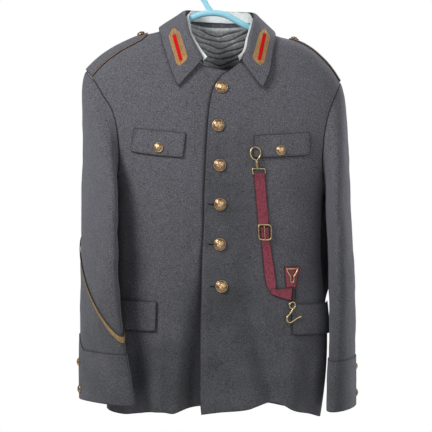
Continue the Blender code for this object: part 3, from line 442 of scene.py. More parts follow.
def patch(top, bottom, near, far, near_fade, far_fade):
    """A grid of (q, z) between four edges; the fades keep the side edges' bends local."""
    u = np.linspace(0, 1, len(top))[None]
    near_drop = (near[:, 1] - near[0, 1]) / (near[-1, 1] - near[0, 1])
    far_drop = (far[:, 1] - far[0, 1]) / (far[-1, 1] - far[0, 1])
    v = (1 - u) * near_drop[:, None] + u * far_drop[:, None]
    near_bend = near[:, 0] - (near[0, 0] + (near[-1, 0] - near[0, 0]) * near_drop)
    far_bend = far[:, 0] - (far[0, 0] + (far[-1, 0] - far[0, 0]) * far_drop)
    q = (1 - v) * top[:, 0] + v * bottom[:, 0]
    q = q + (1 - u) ** near_fade * near_bend[:, None] + u**far_fade * far_bend[:, None]
    return np.stack([q, (1 - v) * top[:, 1] + v * bottom[:, 1]], axis=-1)


def on_form(points):
    """The (q, z) places of (x, z) points."""
    points = np.asarray(points, float)
    return np.stack([across(points[:, 0], points[:, 1]), points[:, 1]], axis=-1)


def shoulder(from_x, to_x, count):
    """Points along the shoulder line."""
    x = np.linspace(from_x, to_x, count)
    return np.stack([x, read_table(SHOULDER_LINE, "x", x, "z")], axis=-1)


def row_share(count):
    """Row places from 0 to 1, closer together where the shoulder rolls over."""
    return 1 - np.cos(np.linspace(0, math.pi / 2, count + 1))


def armhole_side(armhole, hem_corner):
    """A panel's outer edge: down the armhole, then down the side to the hem."""
    arm = on_form(curve(armhole)(row_share(ARM_ROWS)))
    sign = np.sign(arm[-1, 0])
    arm[-1, 0] = sign
    arm[0, 1] = read_table(SHOULDER_LINE, "x", armhole[0][0], "z")
    side_z = np.linspace(armhole[-1][1], hem_corner[1], SIDE_ROWS + 1)[1:]
    return np.concatenate([arm, np.stack([np.full(SIDE_ROWS, sign), side_z], axis=-1)])


def front_edge(edge, underarm_z):
    """A front's own edge, with its rows at the levels of the panel's other side."""
    down = spread(edge, 400)
    upper = edge[0][1] + (underarm_z - edge[0][1]) * row_share(ARM_ROWS)
    z = np.concatenate([upper, np.linspace(underarm_z, edge[-1][1], SIDE_ROWS + 1)[1:]])
    return on_form(np.stack([np.interp(-z, -down[:, 1], down[:, 0]), z], axis=-1))


def front_panel(edge, lead, lead_columns, neck, hem, armhole, folds):
    """A front's outside grid."""
    ahead = spread(lead, lead_columns + 1)[:-1]
    around = spread(neck, NECK_COLUMNS + 1)
    over = shoulder(neck[-1][0], armhole[0][0], SHOULDER_COLUMNS + 1)[1:]
    top = on_form(np.concatenate([ahead, around, over]))
    bottom = on_form(spread(hem, len(top)))
    far = armhole_side(armhole, hem[-1])
    near = front_edge(edge, armhole[-1][1])
    bottom[-1], bottom[0] = far[-1], near[-1]
    cells = patch(top, bottom, near, far, 6, 3)
    return body_form(cells[..., 0], cells[..., 1], -1, folds)


def back_panel():
    """The back's outside grid."""
    left = armhole_side(RIGHT_ARMHOLE, BACK_HEM[0])
    right = armhole_side(LEFT_ARMHOLE, BACK_HEM[-1])
    first = shoulder(RIGHT_ARMHOLE[0][0], BACK_NECK[0][0], BACK_SHOULDER_COLUMNS + 1)[:-1]
    neck = spread(BACK_NECK, BACK_NECK_COLUMNS + 1)
    last = shoulder(BACK_NECK[-1][0], LEFT_ARMHOLE[0][0], BACK_SHOULDER_COLUMNS + 1)[1:]
    top = on_form(np.concatenate([first, neck, last]))
    bottom = on_form(spread(BACK_HEM, len(top)))
    bottom[0], bottom[-1] = left[-1], right[-1]
    cells = patch(top, bottom, left, right, 3, 3)
    return body_form(cells[..., 0], cells[..., 1], 1, BACK_FOLDS)


def keep_side(grid, side):
    """Holds a panel off the seams at y = 0, where front and back meet."""
    grid = grid.copy()
    grid[..., 1] = np.minimum(grid[..., 1], -SEAM / 2) if side < 0 else np.maximum(grid[..., 1], SEAM / 2)
    return grid


# Wrinkles


def wander(points, size, seed):
    """Soft uneven values from about -0.5 to 0.5 over the points."""
    flat = points.reshape(-1, 3) / size + seed * 17.3
    return np.array([noise.noise(Vector(p)) for p in flat]).reshape(points.shape[:-1])


def pressed(a, b, creases, per_unit=1.0):
    """How far creases lift the cloth at places (a, b), in millimetres; troughs are negative."""
    lift = np.zeros(np.shape(a))
    for n, crease in enumerate(creases):
        start = np.array([crease.x * per_unit, crease.z])
        way = np.array([crease.to_x * per_unit, crease.to_z]) - start
        length = np.linalg.norm(way)
        way = way / length
        along = ((a - start[0]) * way[0] + (b - start[1]) * way[1]) / length
        off = (a - start[0]) * way[1] - (b - start[1]) * way[0]
        off = off + crease.width * 0.5 * np.sin(along * 5.1 + n * 1.7)
        taper = np.sin(np.clip(along, 0, 1) * math.pi) ** 0.8
        wide = crease.width * (0.75 + 0.5 * np.clip(along, 0, 1))
        shape = np.exp(-((off / wide) ** 2)) - 0.42 * np.exp(-((off / (wide * 2.1)) ** 2))
        lift -= crease.depth * taper * shape
    return lift


# Meshes


def grid_normals(grid, closed):
    """The normals of a grid's points."""
    du = np.roll(grid, -1, axis=1) - np.roll(grid, 1, axis=1) if closed else np.gradient(grid, axis=1)
    return unit(np.cross(du, np.gradient(grid, axis=0)))


def facing(grid, closed, outwards):
    """Normals of a grid, turned so that they point along outwards."""
    n = grid_normals(grid, closed)
    return n if (n * outwards).sum() > 0 else -n


def grid_faces(rows, columns, closed, first=0, flip=False):
    """The four-sided faces of a grid of points."""
    j, i = np.meshgrid(np.arange(rows - 1), np.arange(columns if closed else columns - 1), indexing="ij")
    k = (i + 1) % columns
    a, b = first + j * columns + i, first + j * columns + k
    faces = np.stack([a, b, b + columns, a + columns], axis=-1).reshape(-1, 4)
    return (faces[:, ::-1] if flip else faces).tolist()


def rim_faces(rows, columns, closed, offset):
    """Joins the open edges of two equal grids, the second starting at offset."""
    if closed:
        i = np.arange(columns)
        k = (i + 1) % columns
        loops = [(row * columns + i, row * columns + k) for row in (0, rows - 1)]
        return [[a, b, b + offset, a + offset] for one, two in loops for a, b in zip(one, two)]
    loop = list(range(columns))
    loop += [j * columns + columns - 1 for j in range(1, rows)]
    loop += [(rows - 1) * columns + i for i in range(columns - 2, -1, -1)]
    loop += [j * columns for j in range(rows - 2, 0, -1)]
    following = loop[1:] + loop[:1]
    return [[a, b, b + offset, a + offset] for a, b in zip(loop, following)]


def add_object(name, points, faces, finish, uv=None, sharp=50, edge=None):
    """A closed mesh object in metres, facing outwards. edge gives each point's painted shade, 0 to 1."""
    mesh = bpy.data.meshes.new(name)
    mesh.from_pydata((np.asarray(points, float) * MM).tolist(), [], faces)
    if uv is not None:
        corner = np.zeros(len(mesh.loops), dtype=np.int32)
        mesh.loops.foreach_get("vertex_index", corner)
        layer = mesh.uv_layers.new(name="cut")
        layer.data.foreach_set("uv", (np.asarray(uv, float)[corner] * MM).ravel())
    if edge is not None:
        painted_shade = mesh.attributes.new("edge", "FLOAT", "POINT")
        painted_shade.data.foreach_set("value", np.asarray(edge, np.float32).ravel())
    body = bmesh.new()
    body.from_mesh(mesh)
    bmesh.ops.recalc_face_normals(body, faces=body.faces)
    body.to_mesh(mesh)
    body.free()
    mesh.shade_smooth()
    mesh.set_sharp_from_angle(angle=math.radians(sharp))
    mesh.materials.append(finish)
    thing = bpy.data.objects.new(name, mesh)
    bpy.context.scene.collection.objects.link(thing)
    return thing


def edge_lines(grid):
    """Adds lines of points close to the first and last rows of a grid."""
    first = np.maximum(np.linalg.norm(grid[1] - grid[0], axis=-1, keepdims=True), 0.1)
    last = np.maximum(np.linalg.norm(grid[-1] - grid[-2], axis=-1, keepdims=True), 0.1)
    places = ((0.3, 0.2), (0.9, 0.4), (1.8, 0.6), (2.7, 0.8))
    near = [grid[0] + (grid[1] - grid[0]) * np.minimum(d / first, s) for d, s in places]
    far = [grid[-1] + (grid[-2] - grid[-1]) * np.minimum(d / last, s) for d, s in places[::-1]]
    return np.concatenate([grid[:1], np.array(near), grid[1:-1], np.array(far), grid[-1:]])


def from_edges(dense, closed):
    """How far each point lies from the nearest open edge, along the grid."""
    top = running(dense, 0)
    far = np.minimum(top, top[-1:] - top)
    if not closed:
        near = running(dense, 1)
        far = np.minimum(far, np.minimum(near, near[:, -1:] - near))
    return far


def cut_lengths(grid, closed):
    """Flat places on the cut cloth: lengths across and down."""
    u = running(grid, 1)
    if not closed:
        u = u - u[:, [grid.shape[1] // 2]]
    return np.stack([u, -running(grid, 0)], axis=-1)


def shell(name, grid, outwards, thick, finish, closed=False, rounding=EDGE_ROUND, shade=None, above=False):
    """A cloth wall with soft edges, inwards from a grid, or outwards from it where above is set.

    outwards is the way that the grid faces, or None where it goes round its own middle.
    shade may add painted shade at more places than the edges.
    """
    dense = edge_lines(grid)
    if not closed:
        dense = edge_lines(dense.transpose(1, 0, 2)).transpose(1, 0, 2)
    if outwards is None:
        outwards = dense - grid.mean(axis=(0, 1))
    away = facing(dense, closed, outwards)
    if above:
        away = -away
    return wall(name, dense, away, thick, finish, closed, rounding, shade)


def wall(name, dense, away, thick, finish, closed, rounding, shade=None):
    """Outside and inside of a cloth, joined round its edges, with rounded edges that carry painted shade."""
    rows, columns = dense.shape[:2]
    far = from_edges(dense, closed)
    bend = np.clip(1 - far / (rounding * 2.2), 0, 1)
    low = 1 - np.sqrt(1 - bend**2 * 0.999)
    # Painted shade along the cloth's edges, darkest at the edge itself
    painted_shade = np.clip(1 - far / EDGE_SHADE_REACH, 0, 1)
    if shade is not None:
        painted_shade = np.maximum(painted_shade, shade(dense))
    outside = dense - away * (low * rounding)[..., None]
    inside = dense - away * (thick - low * min(rounding, thick - rounding - 0.2) * 0.8)[..., None]
    points = np.concatenate([outside.reshape(-1, 3), inside.reshape(-1, 3)])
    faces = grid_faces(rows, columns, closed)
    faces += grid_faces(rows, columns, closed, rows * columns, flip=True)
    faces += rim_faces(rows, columns, closed, rows * columns)
    uv = np.tile(cut_lengths(dense, closed).reshape(-1, 2), (2, 1))
    painted_shade = np.tile(painted_shade.reshape(-1), 2)
    return add_object(name, points, faces, finish, uv, 75, painted_shade)


class Surface:
    """The outside of pieces already made, to lay others on."""

    def __init__(self, *grids):
        points, faces = [], []
        for grid in grids:
            rows, columns = grid.shape[:2]
            for a, b, c, d in grid_faces(rows, columns, False, len(points)):
                faces += [(a, b, c), (a, c, d)]
            points += [Vector(p) for p in grid.reshape(-1, 3)]
        self.tree = BVHTree.FromPolygons(points, faces)

    def from_front(self, x, z, lift):
        place, normal, _, _ = self.tree.ray_cast(Vector((x, -600, z)), Vector((0, 1, 0)))
        normal = -normal if normal.y > 0 else normal
        return np.array(place + normal * lift), np.array(normal)

    def from_above(self, x, y, lift):
        y = math.copysign(max(abs(y), SEAM), y)
        place, normal, _, _ = self.tree.ray_cast(Vector((x, y, 300)), Vector((0, 0, -1)))
        normal = -normal if normal.z < 0 else normal
        return np.array(place + normal * lift), np.array(normal)

    def push(self, points, lift):
        """Points moved out where they lie nearer than lift to the surface."""
        out = np.array(points, float)
        for n, p in enumerate(out.reshape(-1, 3)):
            place, normal, _, distance = self.tree.find_nearest(Vector(p))
            if normal.dot(place - Vector((15, 0, place.z - 80))) < 0:
                normal = -normal
            height = (Vector(p) - place).dot(normal)
            beyond_edge = distance > 1.2 and abs(height) < 0.8 * distance
            if not beyond_edge and distance < 12 and height < lift:
                out.reshape(-1, 3)[n] = place + normal * lift
        return out


# Sleeves


def sleeve_ring(cuts, z, hand, grow, turn):
    """Points round a sleeve at the given turns and heights. hand is 1 where the body is towards +X."""
    z, turn = np.broadcast_arrays(np.asarray(z, float), np.asarray(turn, float))
    reach = read_table(cuts, "z", z, "reach") + grow
    half = read_table(cuts, "z", z, "half") + grow
    yaw = np.radians(read_table(cuts, "z", z, "yaw"))
    wide = reach * np.sin(turn)
    thin = half * np.cos(turn)
    x = read_table(cuts, "z", z, "x") + hand * (wide * np.sin(yaw) - thin * np.cos(yaw))
    y = read_table(cuts, "z", z, "y") - wide * np.cos(yaw) - thin * np.sin(yaw)
    return np.stack([x, y, z], axis=-1)


def armhole_ring(front, front_away, back, back_away):
    """The points of the armhole at the panels' last columns, their normals and the ways out."""
    rows = slice(0, ARM_ROWS + 1)
    f, fn = front[rows, -1], front_away[rows, -1]
    b, bn = back[rows, -1], back_away[rows, -1]
    loop = np.concatenate([f, b[-2:0:-1]])
    away = np.concatenate([fn, bn[-2:0:-1]])
    loop[0] = (f[0] + b[0]) / 2
    loop[ARM_ROWS] = (f[-1] + b[-1]) / 2
    away[0] = (fn[0] + bn[0]) / 2
    away[ARM_ROWS] = (fn[-1] + bn[-1]) / 2
    away = unit(away)
    tangent = np.roll(loop, -2, axis=0) - np.roll(loop, 2, axis=0)
    out = unit(np.cross(tangent, away))
    if (out * (loop - loop.mean(axis=0))).sum() > 0:
        out = -out
    return loop, away, out


def sleeve_grid(cuts, hand, loop, away, out, creases):
    """A sleeve's outside, from its armhole down, with its creases."""
    count = len(loop)
    turn = np.arange(count) * 2 * math.pi / count
    first_ring = sleeve_ring(cuts, cuts[0].z, hand, 0, turn)
    under = 0.5 - 0.5 * np.cos(turn)
    low = ease((under - 0.72) / 0.28)[:, None]
    top = ease((0.34 - under) / 0.34)[:, None]
    down = np.array([0, 0, -1.0])
    lead = (
        out * (0.25 + 0.75 * top - 0.05 * low)
        + away * (0.25 - 0.2 * top + 0.85 * low)
        + down * (0.75 - 0.6 * top - 0.75 * low)
    )
    lead = unit(lead)
    drop = np.linalg.norm(first_ring - loop, axis=-1)[:, None]
    start = loop + out * SEAM * (1 + 2 * low)
    rows = []
    for s in np.linspace(0, 1, HEAD_ROWS + 1) ** 1.15:
        pull = lead * drop * (0.5 - 0.14 * top)
        rows.append(eased_between(s, start, pull, first_ring, down * drop * 0.9))
    for z in np.linspace(cuts[0].z, cuts[-1].z, ARM_LENGTH_ROWS + 1)[1:]:
        rows.append(sleeve_ring(cuts, z, hand, 0, turn))
    grid = np.array(rows)
    outwards = facing(grid, True, grid - grid.mean(axis=1, keepdims=True))
    degrees = np.broadcast_to(np.degrees(turn), grid.shape[:2])
    lift = pressed(degrees * MM_PER_DEGREE, grid[..., 2], creases, MM_PER_DEGREE)
    lift += 1.3 * wander(grid, 46, 3) + 0.5 * wander(grid, 17, 5)
    shares = np.linspace(0, 1, len(grid))[:, None]
    lift *= ease(shares / 0.07) * ease((grid[..., 2] - cuts[-1].z - 100) / 30)
    if creases is RIGHT_SLEEVE_CREASES:
        lift *= 1 - np.exp(-(((grid[..., 2] - band_height(turn)[None]) / 13) ** 2))
    return grid + outwards * lift[..., None]


def sleeve(name, grid, away_at_seam):
    """A sleeve's wall; its first row's thickness lies along the panels' thickness."""
    dense = edge_lines(grid)
    away = facing(dense, True, dense - dense.mean(axis=1, keepdims=True))
    count = dense.shape[1]
    under = 0.5 - 0.5 * np.cos(np.arange(count) * 2 * math.pi / count)
    low = ease((under - 0.8) / 0.2)[:, None]
    seam_rows = slice(0, 5)
    away[seam_rows] = unit(away_at_seam * (1 - low) + away[seam_rows] * low)
    return wall(name, dense, away, CLOTH, WOOL, True, EDGE_ROUND)


def cuff(name, cuts, hand, top_z, scroll):
    """A turned cuff round the sleeve's end; scroll raises its edge at the back."""
    turn = np.arange(144) / 144
    rear = ease((turn - 0.60) / 0.09) * ease((0.935 - turn) / 0.10)
    share = np.linspace(0, 1, 26)[:, None]
    z = top_z + (cuts[-1].z - top_z) * share + scroll * rear * (1 - share)
    grid = sleeve_ring(cuts, z, hand, CUFF_OUT, turn[None] * 2 * math.pi)
    puff = 0.5 * np.sin(share * math.pi) * (1 + 1.4 * wander(grid, 30, 8))
    outwards = facing(grid, True, grid - grid.mean(axis=1, keepdims=True))
    grid = grid + outwards * puff[..., None]
    return shell(name, grid, None, CUFF_CLOTH, WOOL, True, 0.5), grid


def band_height(turn):
    """The slanting middle line of the strap round the right sleeve."""
    return -589 - 94 * np.sin(turn)


# Collar


def collar_frames(neck, places):
    """For each place round the neck: base, fold, outer edge, up and outward ways."""
    base = np.stack([np.interp(places, neck_places(), neck[:, n]) for n in range(3)], axis=-1)
    fold = at_rows(COLLAR_FOLD, places)
    edge = at_rows(FALL_EDGE, places)
    along = np.gradient(fold, axis=0)
    up = unit(fold - base)
    out = unit(np.cross(along, up))
    if (out * (edge - fold)).sum() < 0:
        out = -out
    fold = fold + out * (RIGHT_FOLD_OUT * np.exp(-(((places - 1.8) / 1.6) ** 2)))[:, None]
    return base, fold, edge, up, out


def neck_places():
    """Where the panels' neckline points lie, counted in rows of the collar's tables."""
    front = np.linspace(0, 4, NECK_COLUMNS + 1)
    behind = np.linspace(4, 8, BACK_NECK_COLUMNS + 1)[1:-1]
    return np.concatenate([front, behind, 12 - front[::-1]])


def neckline(right, left, back):
    """The panels' own neckline points, from one collar end round to the other."""
    first = right[0, UNDERLAP_COLUMNS : UNDERLAP_COLUMNS + NECK_COLUMNS + 1]
    behind = back[0, BACK_SHOULDER_COLUMNS + 1 : BACK_SHOULDER_COLUMNS + BACK_NECK_COLUMNS]
    last = left[0, OVERLAP_COLUMNS : OVERLAP_COLUMNS + NECK_COLUMNS + 1][::-1]
    return np.concatenate([first, behind, last])


def rows_between(rows, counts):
    """More rows, evenly between each pair."""
    out = [rows[0][None]]
    for a, b, count in zip(rows, rows[1:], counts):
        for share in np.arange(1, count + 1) / count:
            out.append((a + (b - a) * share)[None])
    return np.concatenate(out)


def collar(neck, body):
    """Stand, white liner and fall; returns the fall's outside for what lies on it."""
    whole = np.linspace(0, 12, 241)
    base, fold, _, up, out = collar_frames(neck, whole)
    rows_stand = rows_between([base + up * STAND_LIFT, (base + fold) / 2, fold], (8, 8)) + out * STAND_HALF
    stand = shell("collar_stand", rows_stand, None, 2 * STAND_HALF, WOOL, rounding=0.6)
    middle = np.array([15.0, 0, -180])

    places = np.linspace(0.16, 11.84, 233)
    base, fold, _, up, out = collar_frames(neck, places)
    behind = np.sin(places / 12 * math.pi)[:, None] ** 1.5
    tall = np.linalg.norm(fold - base, axis=-1, keepdims=True)
    deep = np.minimum(LINER_FRONT + (LINER_BACK - LINER_FRONT) * behind, tall * 0.66)
    ragged = 0.9 * wander(places[:, None] * np.array([9.0, 0, 0]), 4.0, 2)[:, None]
    ends = [fold + up * (LINER_RISE + ragged), fold - up * deep * 0.4, fold - up * (deep + ragged)]
    side_lean = LINER_LEAN - LINER_LEAN_LESS * ease((places - 5) / 2)
    lean = (side_lean * (1 - np.sin(places / 12 * math.pi) ** 6))[:, None] * unit(out * (1, 0.2, 0.4))
    ends[0] = ends[0] - lean
    ends[1] = ends[1] - lean * 0.35
    rows = rows_between(ends, (6, 8)) - out * (STAND_HALF + LINER_GAP)
    rows += out * (0.35 * np.sin(places * 5.1) * np.sin(places * 2.3 + 1))[None, :, None]
    liner = shell("collar_liner", rows, None, 1.0, LINER, rounding=0.4)

    _, fold, edge, up, out = collar_frames(neck, whole)
    heads = [fold - out * STAND_HALF + up * 3.0, fold + out * 1.7 + up * 2.9, fold + out * 4.4 - up * 0.6]
    roll = []
    for s in np.linspace(0, 1, 10)[:-1]:
        roll.append(heads[0] * (1 - s) ** 2 + heads[1] * 2 * s * (1 - s) + heads[2] * s**2)
    share = np.linspace(0, 1, 34)[:, None, None]
    flat = heads[2] + (edge - heads[2]) * share
    flat = np.concatenate([np.array(roll), flat])
    sunk = facing(flat, False, flat - middle)
    soft = 0.9 * wander(flat, 34, 6) * np.clip((np.arange(len(flat)) - 10) / 10, 0, 1)[:, None]
    lying = flat + sunk * soft[..., None]
    resting = ease((np.arange(len(flat)) - 12) / 7)[:, None, None]
    for gap in (0.8, 0.5, 0.4):
        lying += (body.push(lying, LAY + FALL_CLOTH + gap) - lying) * resting
        for _ in range(2):
            above, below = lying[11:-2, 1:-1], lying[13:, 1:-1]
            before, after = lying[12:-1, :-2], lying[12:-1, 2:]
            lying[12:-1, 1:-1] = (lying[12:-1, 1:-1] * 2 + above + below + before + after) / 6
    lying += (body.push(lying, LAY + FALL_CLOTH + 0.3) - lying) * resting
    fall = shell("collar_fall", lying, None, FALL_CLOTH, WOOL, rounding=0.7, above=True)
    return (stand, rows_stand), (liner, rows), (fall, lying)


def quilt_lines(points):
    """1 on the lining's chevron seams and 0 between them."""
    seams = np.zeros(points.shape[:-1])
    x, z = points[..., 0] - 15, points[..., 2]
    for n, top in enumerate(range(-99, -300, -11)):
        line = top + 19 * (np.abs(x) / 60) ** 1.15 + 1.3 * np.sin(x / 9 + n * 2.1)
        seams = np.maximum(seams, np.exp(-(((z - line) / 1.7) ** 2)))
    return seams


def lining_shade(points):
    """Painted shade in the quilted seams and a painted shadow where the wearer's left front shades the
    lining, over uneven tone.
    """
    deep = ease((0.75 * (points[..., 0] - 6) - 0.9 * (points[..., 2] + 128)) / 52)
    return np.clip(0.62 * quilt_lines(points) + 0.16 * wander(points, 7, 4) + 0.85 * deep, 0, 1)


def lining(back):
    """The quilted lining behind the neck opening, inside the back."""
    share = row_share(ARM_ROWS)
    wanted = np.flatnonzero((share > 0.0006) & (share < 1 - math.cos(math.pi * 11 / 24)))
    columns = slice(BACK_SHOULDER_COLUMNS, BACK_SHOULDER_COLUMNS + BACK_NECK_COLUMNS + 1)
    coarse = back[wanted, columns]
    coarse = np.concatenate([coarse[:1] + np.array([0, 0.5, 4.5]), coarse])
    grid = denser(denser(coarse, 190).transpose(1, 0, 2), 90).transpose(1, 0, 2)
    away = facing(grid, False, TO_BACK)
    puff = quilt_lines(grid)
    inside = grid - away * (CLOTH + LAY + 1.0 + 1.1 * (1 - puff) + 0.3 * wander(grid, 12, 9))[..., None]
    piece = shell("back_lining", inside, TO_FRONT, 0.9, SATIN, rounding=0.3, shade=lining_shade)
    return piece, inside


# Pieces that lie on others


def quad_places(corners, rows, columns):
    """A grid of places between four corners."""
    a, b, c, d = [np.array(p, float) for p in corners]
    u = np.linspace(0, 1, columns)[None, :, None]
    v = np.linspace(0, 1, rows)[:, None, None]
    return (a * (1 - u) + b * u) * (1 - v) + (d * (1 - u) + c * u) * v


def rest_on(surface, places, lift):
    """Points and normals over (x, z) places on a surface seen from the front."""
    flat = [surface.from_front(x, z, 0) for x, z in places.reshape(-1, 2)]
    points = np.array([p for p, _ in flat]).reshape(places.shape[:-1] + (3,))
    away = np.array([n for _, n in flat]).reshape(points.shape)
    return points + away * np.asarray(lift)[..., None], away


def chest_flap(name, surface, corners):
    """A pocket flap whose edge towards the buttons stands off a little."""
    places = quad_places(corners, 34, 76)
    u = np.linspace(0, 1, 76)[None]
    v = np.linspace(0, 1, 34)[:, None]
    places[..., 1] -= 1.6 * np.sin(u * math.pi) * v
    round_off = np.clip(1 - u / 0.06, 0, 1) ** 2 + np.clip((u - 0.94) / 0.06, 0, 1) ** 2
    places[..., 1] += 2.5 * round_off * v**6
    lift = LAY + 0.5 + 1.5 * np.clip(1 - u / 0.25, 0, 1) ** 1.5 * v + 0.7 * np.sin(u * math.pi) * v
    inside, away = rest_on(surface, places, lift)
    outside = inside + away * CLOTH
    return shell(name, outside, away.mean(axis=(0, 1)), CLOTH, WOOL), outside


def hip_flap(name, q_near, q_far, top_z, bottom_z, surface):
    """A flap that goes round the side, made from the body's form, moved out."""
    q, z = np.meshgrid(np.linspace(q_near, q_far, 110), np.linspace(top_z, bottom_z, 34))
    v = (z - top_z) / (bottom_z - top_z)
    near = np.clip(1 - np.abs(q - q_near) / 0.05, 0, 1) ** 2
    z = z + 2.5 * near * v**6
    hand = "right" if q_near < 0 else "left"
    front = body_form(np.clip(q, -1, 1), z, -1, RIGHT_FOLDS if hand == "right" else LEFT_FOLDS)
    behind = body_form(np.sign(q) * (2 - np.abs(q)), z, 1, BACK_FOLDS)
    grid = np.where((np.abs(q) > 1)[..., None], behind, front)
    away = facing(grid, False, grid - HIP_MIDDLE)
    lift = CLOTH + 0.3 + 1.2 * v * np.clip(1 - np.abs(q) ** 4, 0, 1)
    grid = surface.push(grid + away * lift[..., None], CLOTH + 0.35)
    return shell(name, grid, None, CLOTH, WOOL, above=True), grid


def shoulder_strap(name, surface, seam, neck_x, rear_y, front_y):
    """A strap from the armhole's seam over the shoulder, pointed at the neck end."""
    share = np.array([0, 0.15, 0.3, 0.45, 0.6, 0.75, 0.88, 0.95, 1.0])
    width = np.array([1, 1, 0.99, 0.98, 0.96, 0.94, 0.9, 0.62, 0.2])
    fine = np.unique(np.concatenate([np.linspace(0, 0.86, 60), np.linspace(0.86, 1, 18)]))
    width = np.interp(fine, share, width)
    middle, half = (rear_y + front_y) / 2, (front_y - rear_y) / 2
    near_top = np.concatenate([seam[-20:], seam[:21]])
    near_top = near_top[np.argsort(near_top[:, 1])]
    inward = np.sign(neck_x - near_top[20, 0])
    outside, away = [], []
    for side in np.linspace(-1, 1, 30):
        y = middle + half * width * side
        arm_x = np.interp(y[0], near_top[:, 1], near_top[:, 0]) + 1.5 * inward
        x = arm_x + (neck_x - arm_x) * fine
        crown = 0.6 * (1 - side**2)
        found = [surface.from_above(a, b, LAY + 0.4 + crown) for a, b in zip(x, y)]
        outside.append([place + normal * (STRAP_THICK - 0.9) for place, normal in found])
        away.append([normal for _, normal in found])
    outside, away = np.array(outside), np.array(away)
    piece = shell(name, outside, away.mean(axis=(0, 1)), STRAP_THICK - 0.9, WOOL, rounding=1.0)
    return piece, outside, away


def turned_way(normal):
    """A normal and two ways across it, the second one upwards."""
    normal = Vector(normal).normalized()
    across_it = Vector((0, 0, 1)).cross(normal)
    across_it = across_it.normalized() if across_it.length > 0.2 else normal.orthogonal().normalized()
    return np.array(normal), np.array(across_it), np.array(normal.cross(across_it))


def disc_faces(sides, rings):
    """Faces over rings of points, from a first point below them to a last point on top."""
    faces = []
    last = 1 + (rings - 1) * sides
    for k in range(sides):
        m = (k + 1) % sides
        faces.append([0, 1 + m, 1 + k])
        for a in range(1, last, sides):
            faces.append([a + k, a + m, a + sides + m, a + sides + k])
        faces.append([last + sides, last + k, last + m])
    return faces


def dome(share):
    """A button's smooth height, as a share of its full one, at a share of its radius."""
    return 0.93 * (0.50 + 0.50 * math.sqrt(max(0.0, 1 - (share / 0.86) ** 2)) ** 1.25)


def button(name, place, normal, across_mm, finish):
    """A domed button with a beaded rim, a ring and a plain rosette pressed into its face, with painted shade
    in its groove and hollows.
    """
    way, right_way, up_way = turned_way(normal)
    r, tall = across_mm / 2, across_mm * 0.3
    sides = 72
    turn = np.arange(sides) * 2 * math.pi / sides
    back = [(0.30, 0.0), (0.72, 0.0), (0.90, 0.10), (0.985, 0.20), (1.0, 0.30)]
    face = [(0.985, 0.42), (0.95, 0.49), (0.91, 0.50), (0.88, 0.47), (0.85, 0.47)]
    rings = [(share, np.full(sides, level)) for share, level in back + face]
    for share in np.linspace(0.83, 0.04, 24):
        ring_line = 0.05 * math.exp(-(((share - 0.68) / 0.03) ** 2))
        petal_edge = 0.36 + 0.20 * np.abs(np.cos(turn * 2.5)) ** 0.7
        petal = 0.075 * ease((petal_edge - share) / 0.06)
        vein = -0.04 * np.exp(-((np.sin(turn * 2.5) / 0.16) ** 2)) * ease((0.5 - share) / 0.1)
        centre = 0.07 * ease((0.16 - share) / 0.04)
        beads = 0.03 * np.cos(turn * 36) * math.exp(-(((share - 0.77) / 0.035) ** 2))
        rings.append((share, dome(share) + ring_line + petal + vein + centre + beads))
    arm = right_way * np.cos(turn)[:, None] + up_way * np.sin(turn)[:, None]
    points = [place]
    # Painted shade in the groove inside the rim and between the raised parts of the face
    hollows = [0.0]
    for share, level in rings:
        hollow = np.full(sides, float(share < 0.90))
        if share < 0.84:
            hollow = 0.8 - (level - dome(share)) / 0.075
        hollows += list(np.clip(hollow, 0, 1))
        points += list(place + arm * r * share + way * (level * tall)[:, None])
    points.append(place + way * float(rings[-1][1].mean()) * tall)
    hollows.append(0.2)
    return add_object(name, points, disc_faces(sides, len(rings)), finish, sharp=70, edge=hollows)


def tube(name, path, radius, closed, finish, sides=14, deep=None):
    """A round bar along points; radius may be a row of numbers."""
    path = np.array(path, float)
    count = len(path)
    ahead = np.roll(path, -1, axis=0) - np.roll(path, 1, axis=0) if closed else np.gradient(path, axis=0)
    ahead = unit(ahead)
    side = unit(np.cross(ahead, np.array([0, 1.0, 0])))
    cross_way = np.cross(side, ahead)
    radius = np.broadcast_to(np.asarray(radius, float), (count,))[:, None, None]
    deep = radius if deep is None else deep
    turn = (np.arange(sides) * 2 * math.pi / sides)[None, :, None]
    rings = path[:, None] + side[:, None] * np.cos(turn) * radius + cross_way[:, None] * np.sin(turn) * deep
    faces = grid_faces(count, sides, True)
    if closed:
        last = (count - 1) * sides
        faces += [[last + k, last + (k + 1) % sides, (k + 1) % sides, k] for k in range(sides)]
        return add_object(name, rings.reshape(-1, 3), faces, finish)
    points = list(rings.reshape(-1, 3)) + [path[0] - ahead[0] * radius[0, 0, 0] * 0.4]
    points.append(path[-1] + ahead[-1] * radius[-1, 0, 0] * 0.4)
    start, end = len(points) - 2, len(points) - 1
    last = (count - 1) * sides
    faces += [[start, (k + 1) % sides, k] for k in range(sides)]
    faces += [[end, last + k, last + (k + 1) % sides] for k in range(sides)]
    return add_object(name, points, faces, finish)


def round_path(points, count, closed):
    """Many points along a smooth curve through a few (x, z) points."""
    if closed:
        points = list(points) + [points[0]]
        return curve(points)(np.linspace(0, 1, count + 1)[:-1])
    return curve(points)(np.linspace(0, 1, count))


def bent_frame(corners, radius):
    """A closed (x, z) outline with corners cut round."""
    out = []
    corners = [np.array(c, float) for c in corners]
    for n, corner in enumerate(corners):
        before, after = corners[n - 1], corners[(n + 1) % len(corners)]
        a = corner + unit(before - corner) * radius
        b = corner + unit(after - corner) * radius
        for s in np.linspace(0, 1, 7):
            out.append(a * (1 - s) ** 2 + corner * 2 * s * (1 - s) + b * s**2)
        start = after + unit(corner - after) * radius
        for s in np.linspace(0, 1, 8)[1:-1]:
            out.append(b + (start - b) * s)
    return np.array(out)


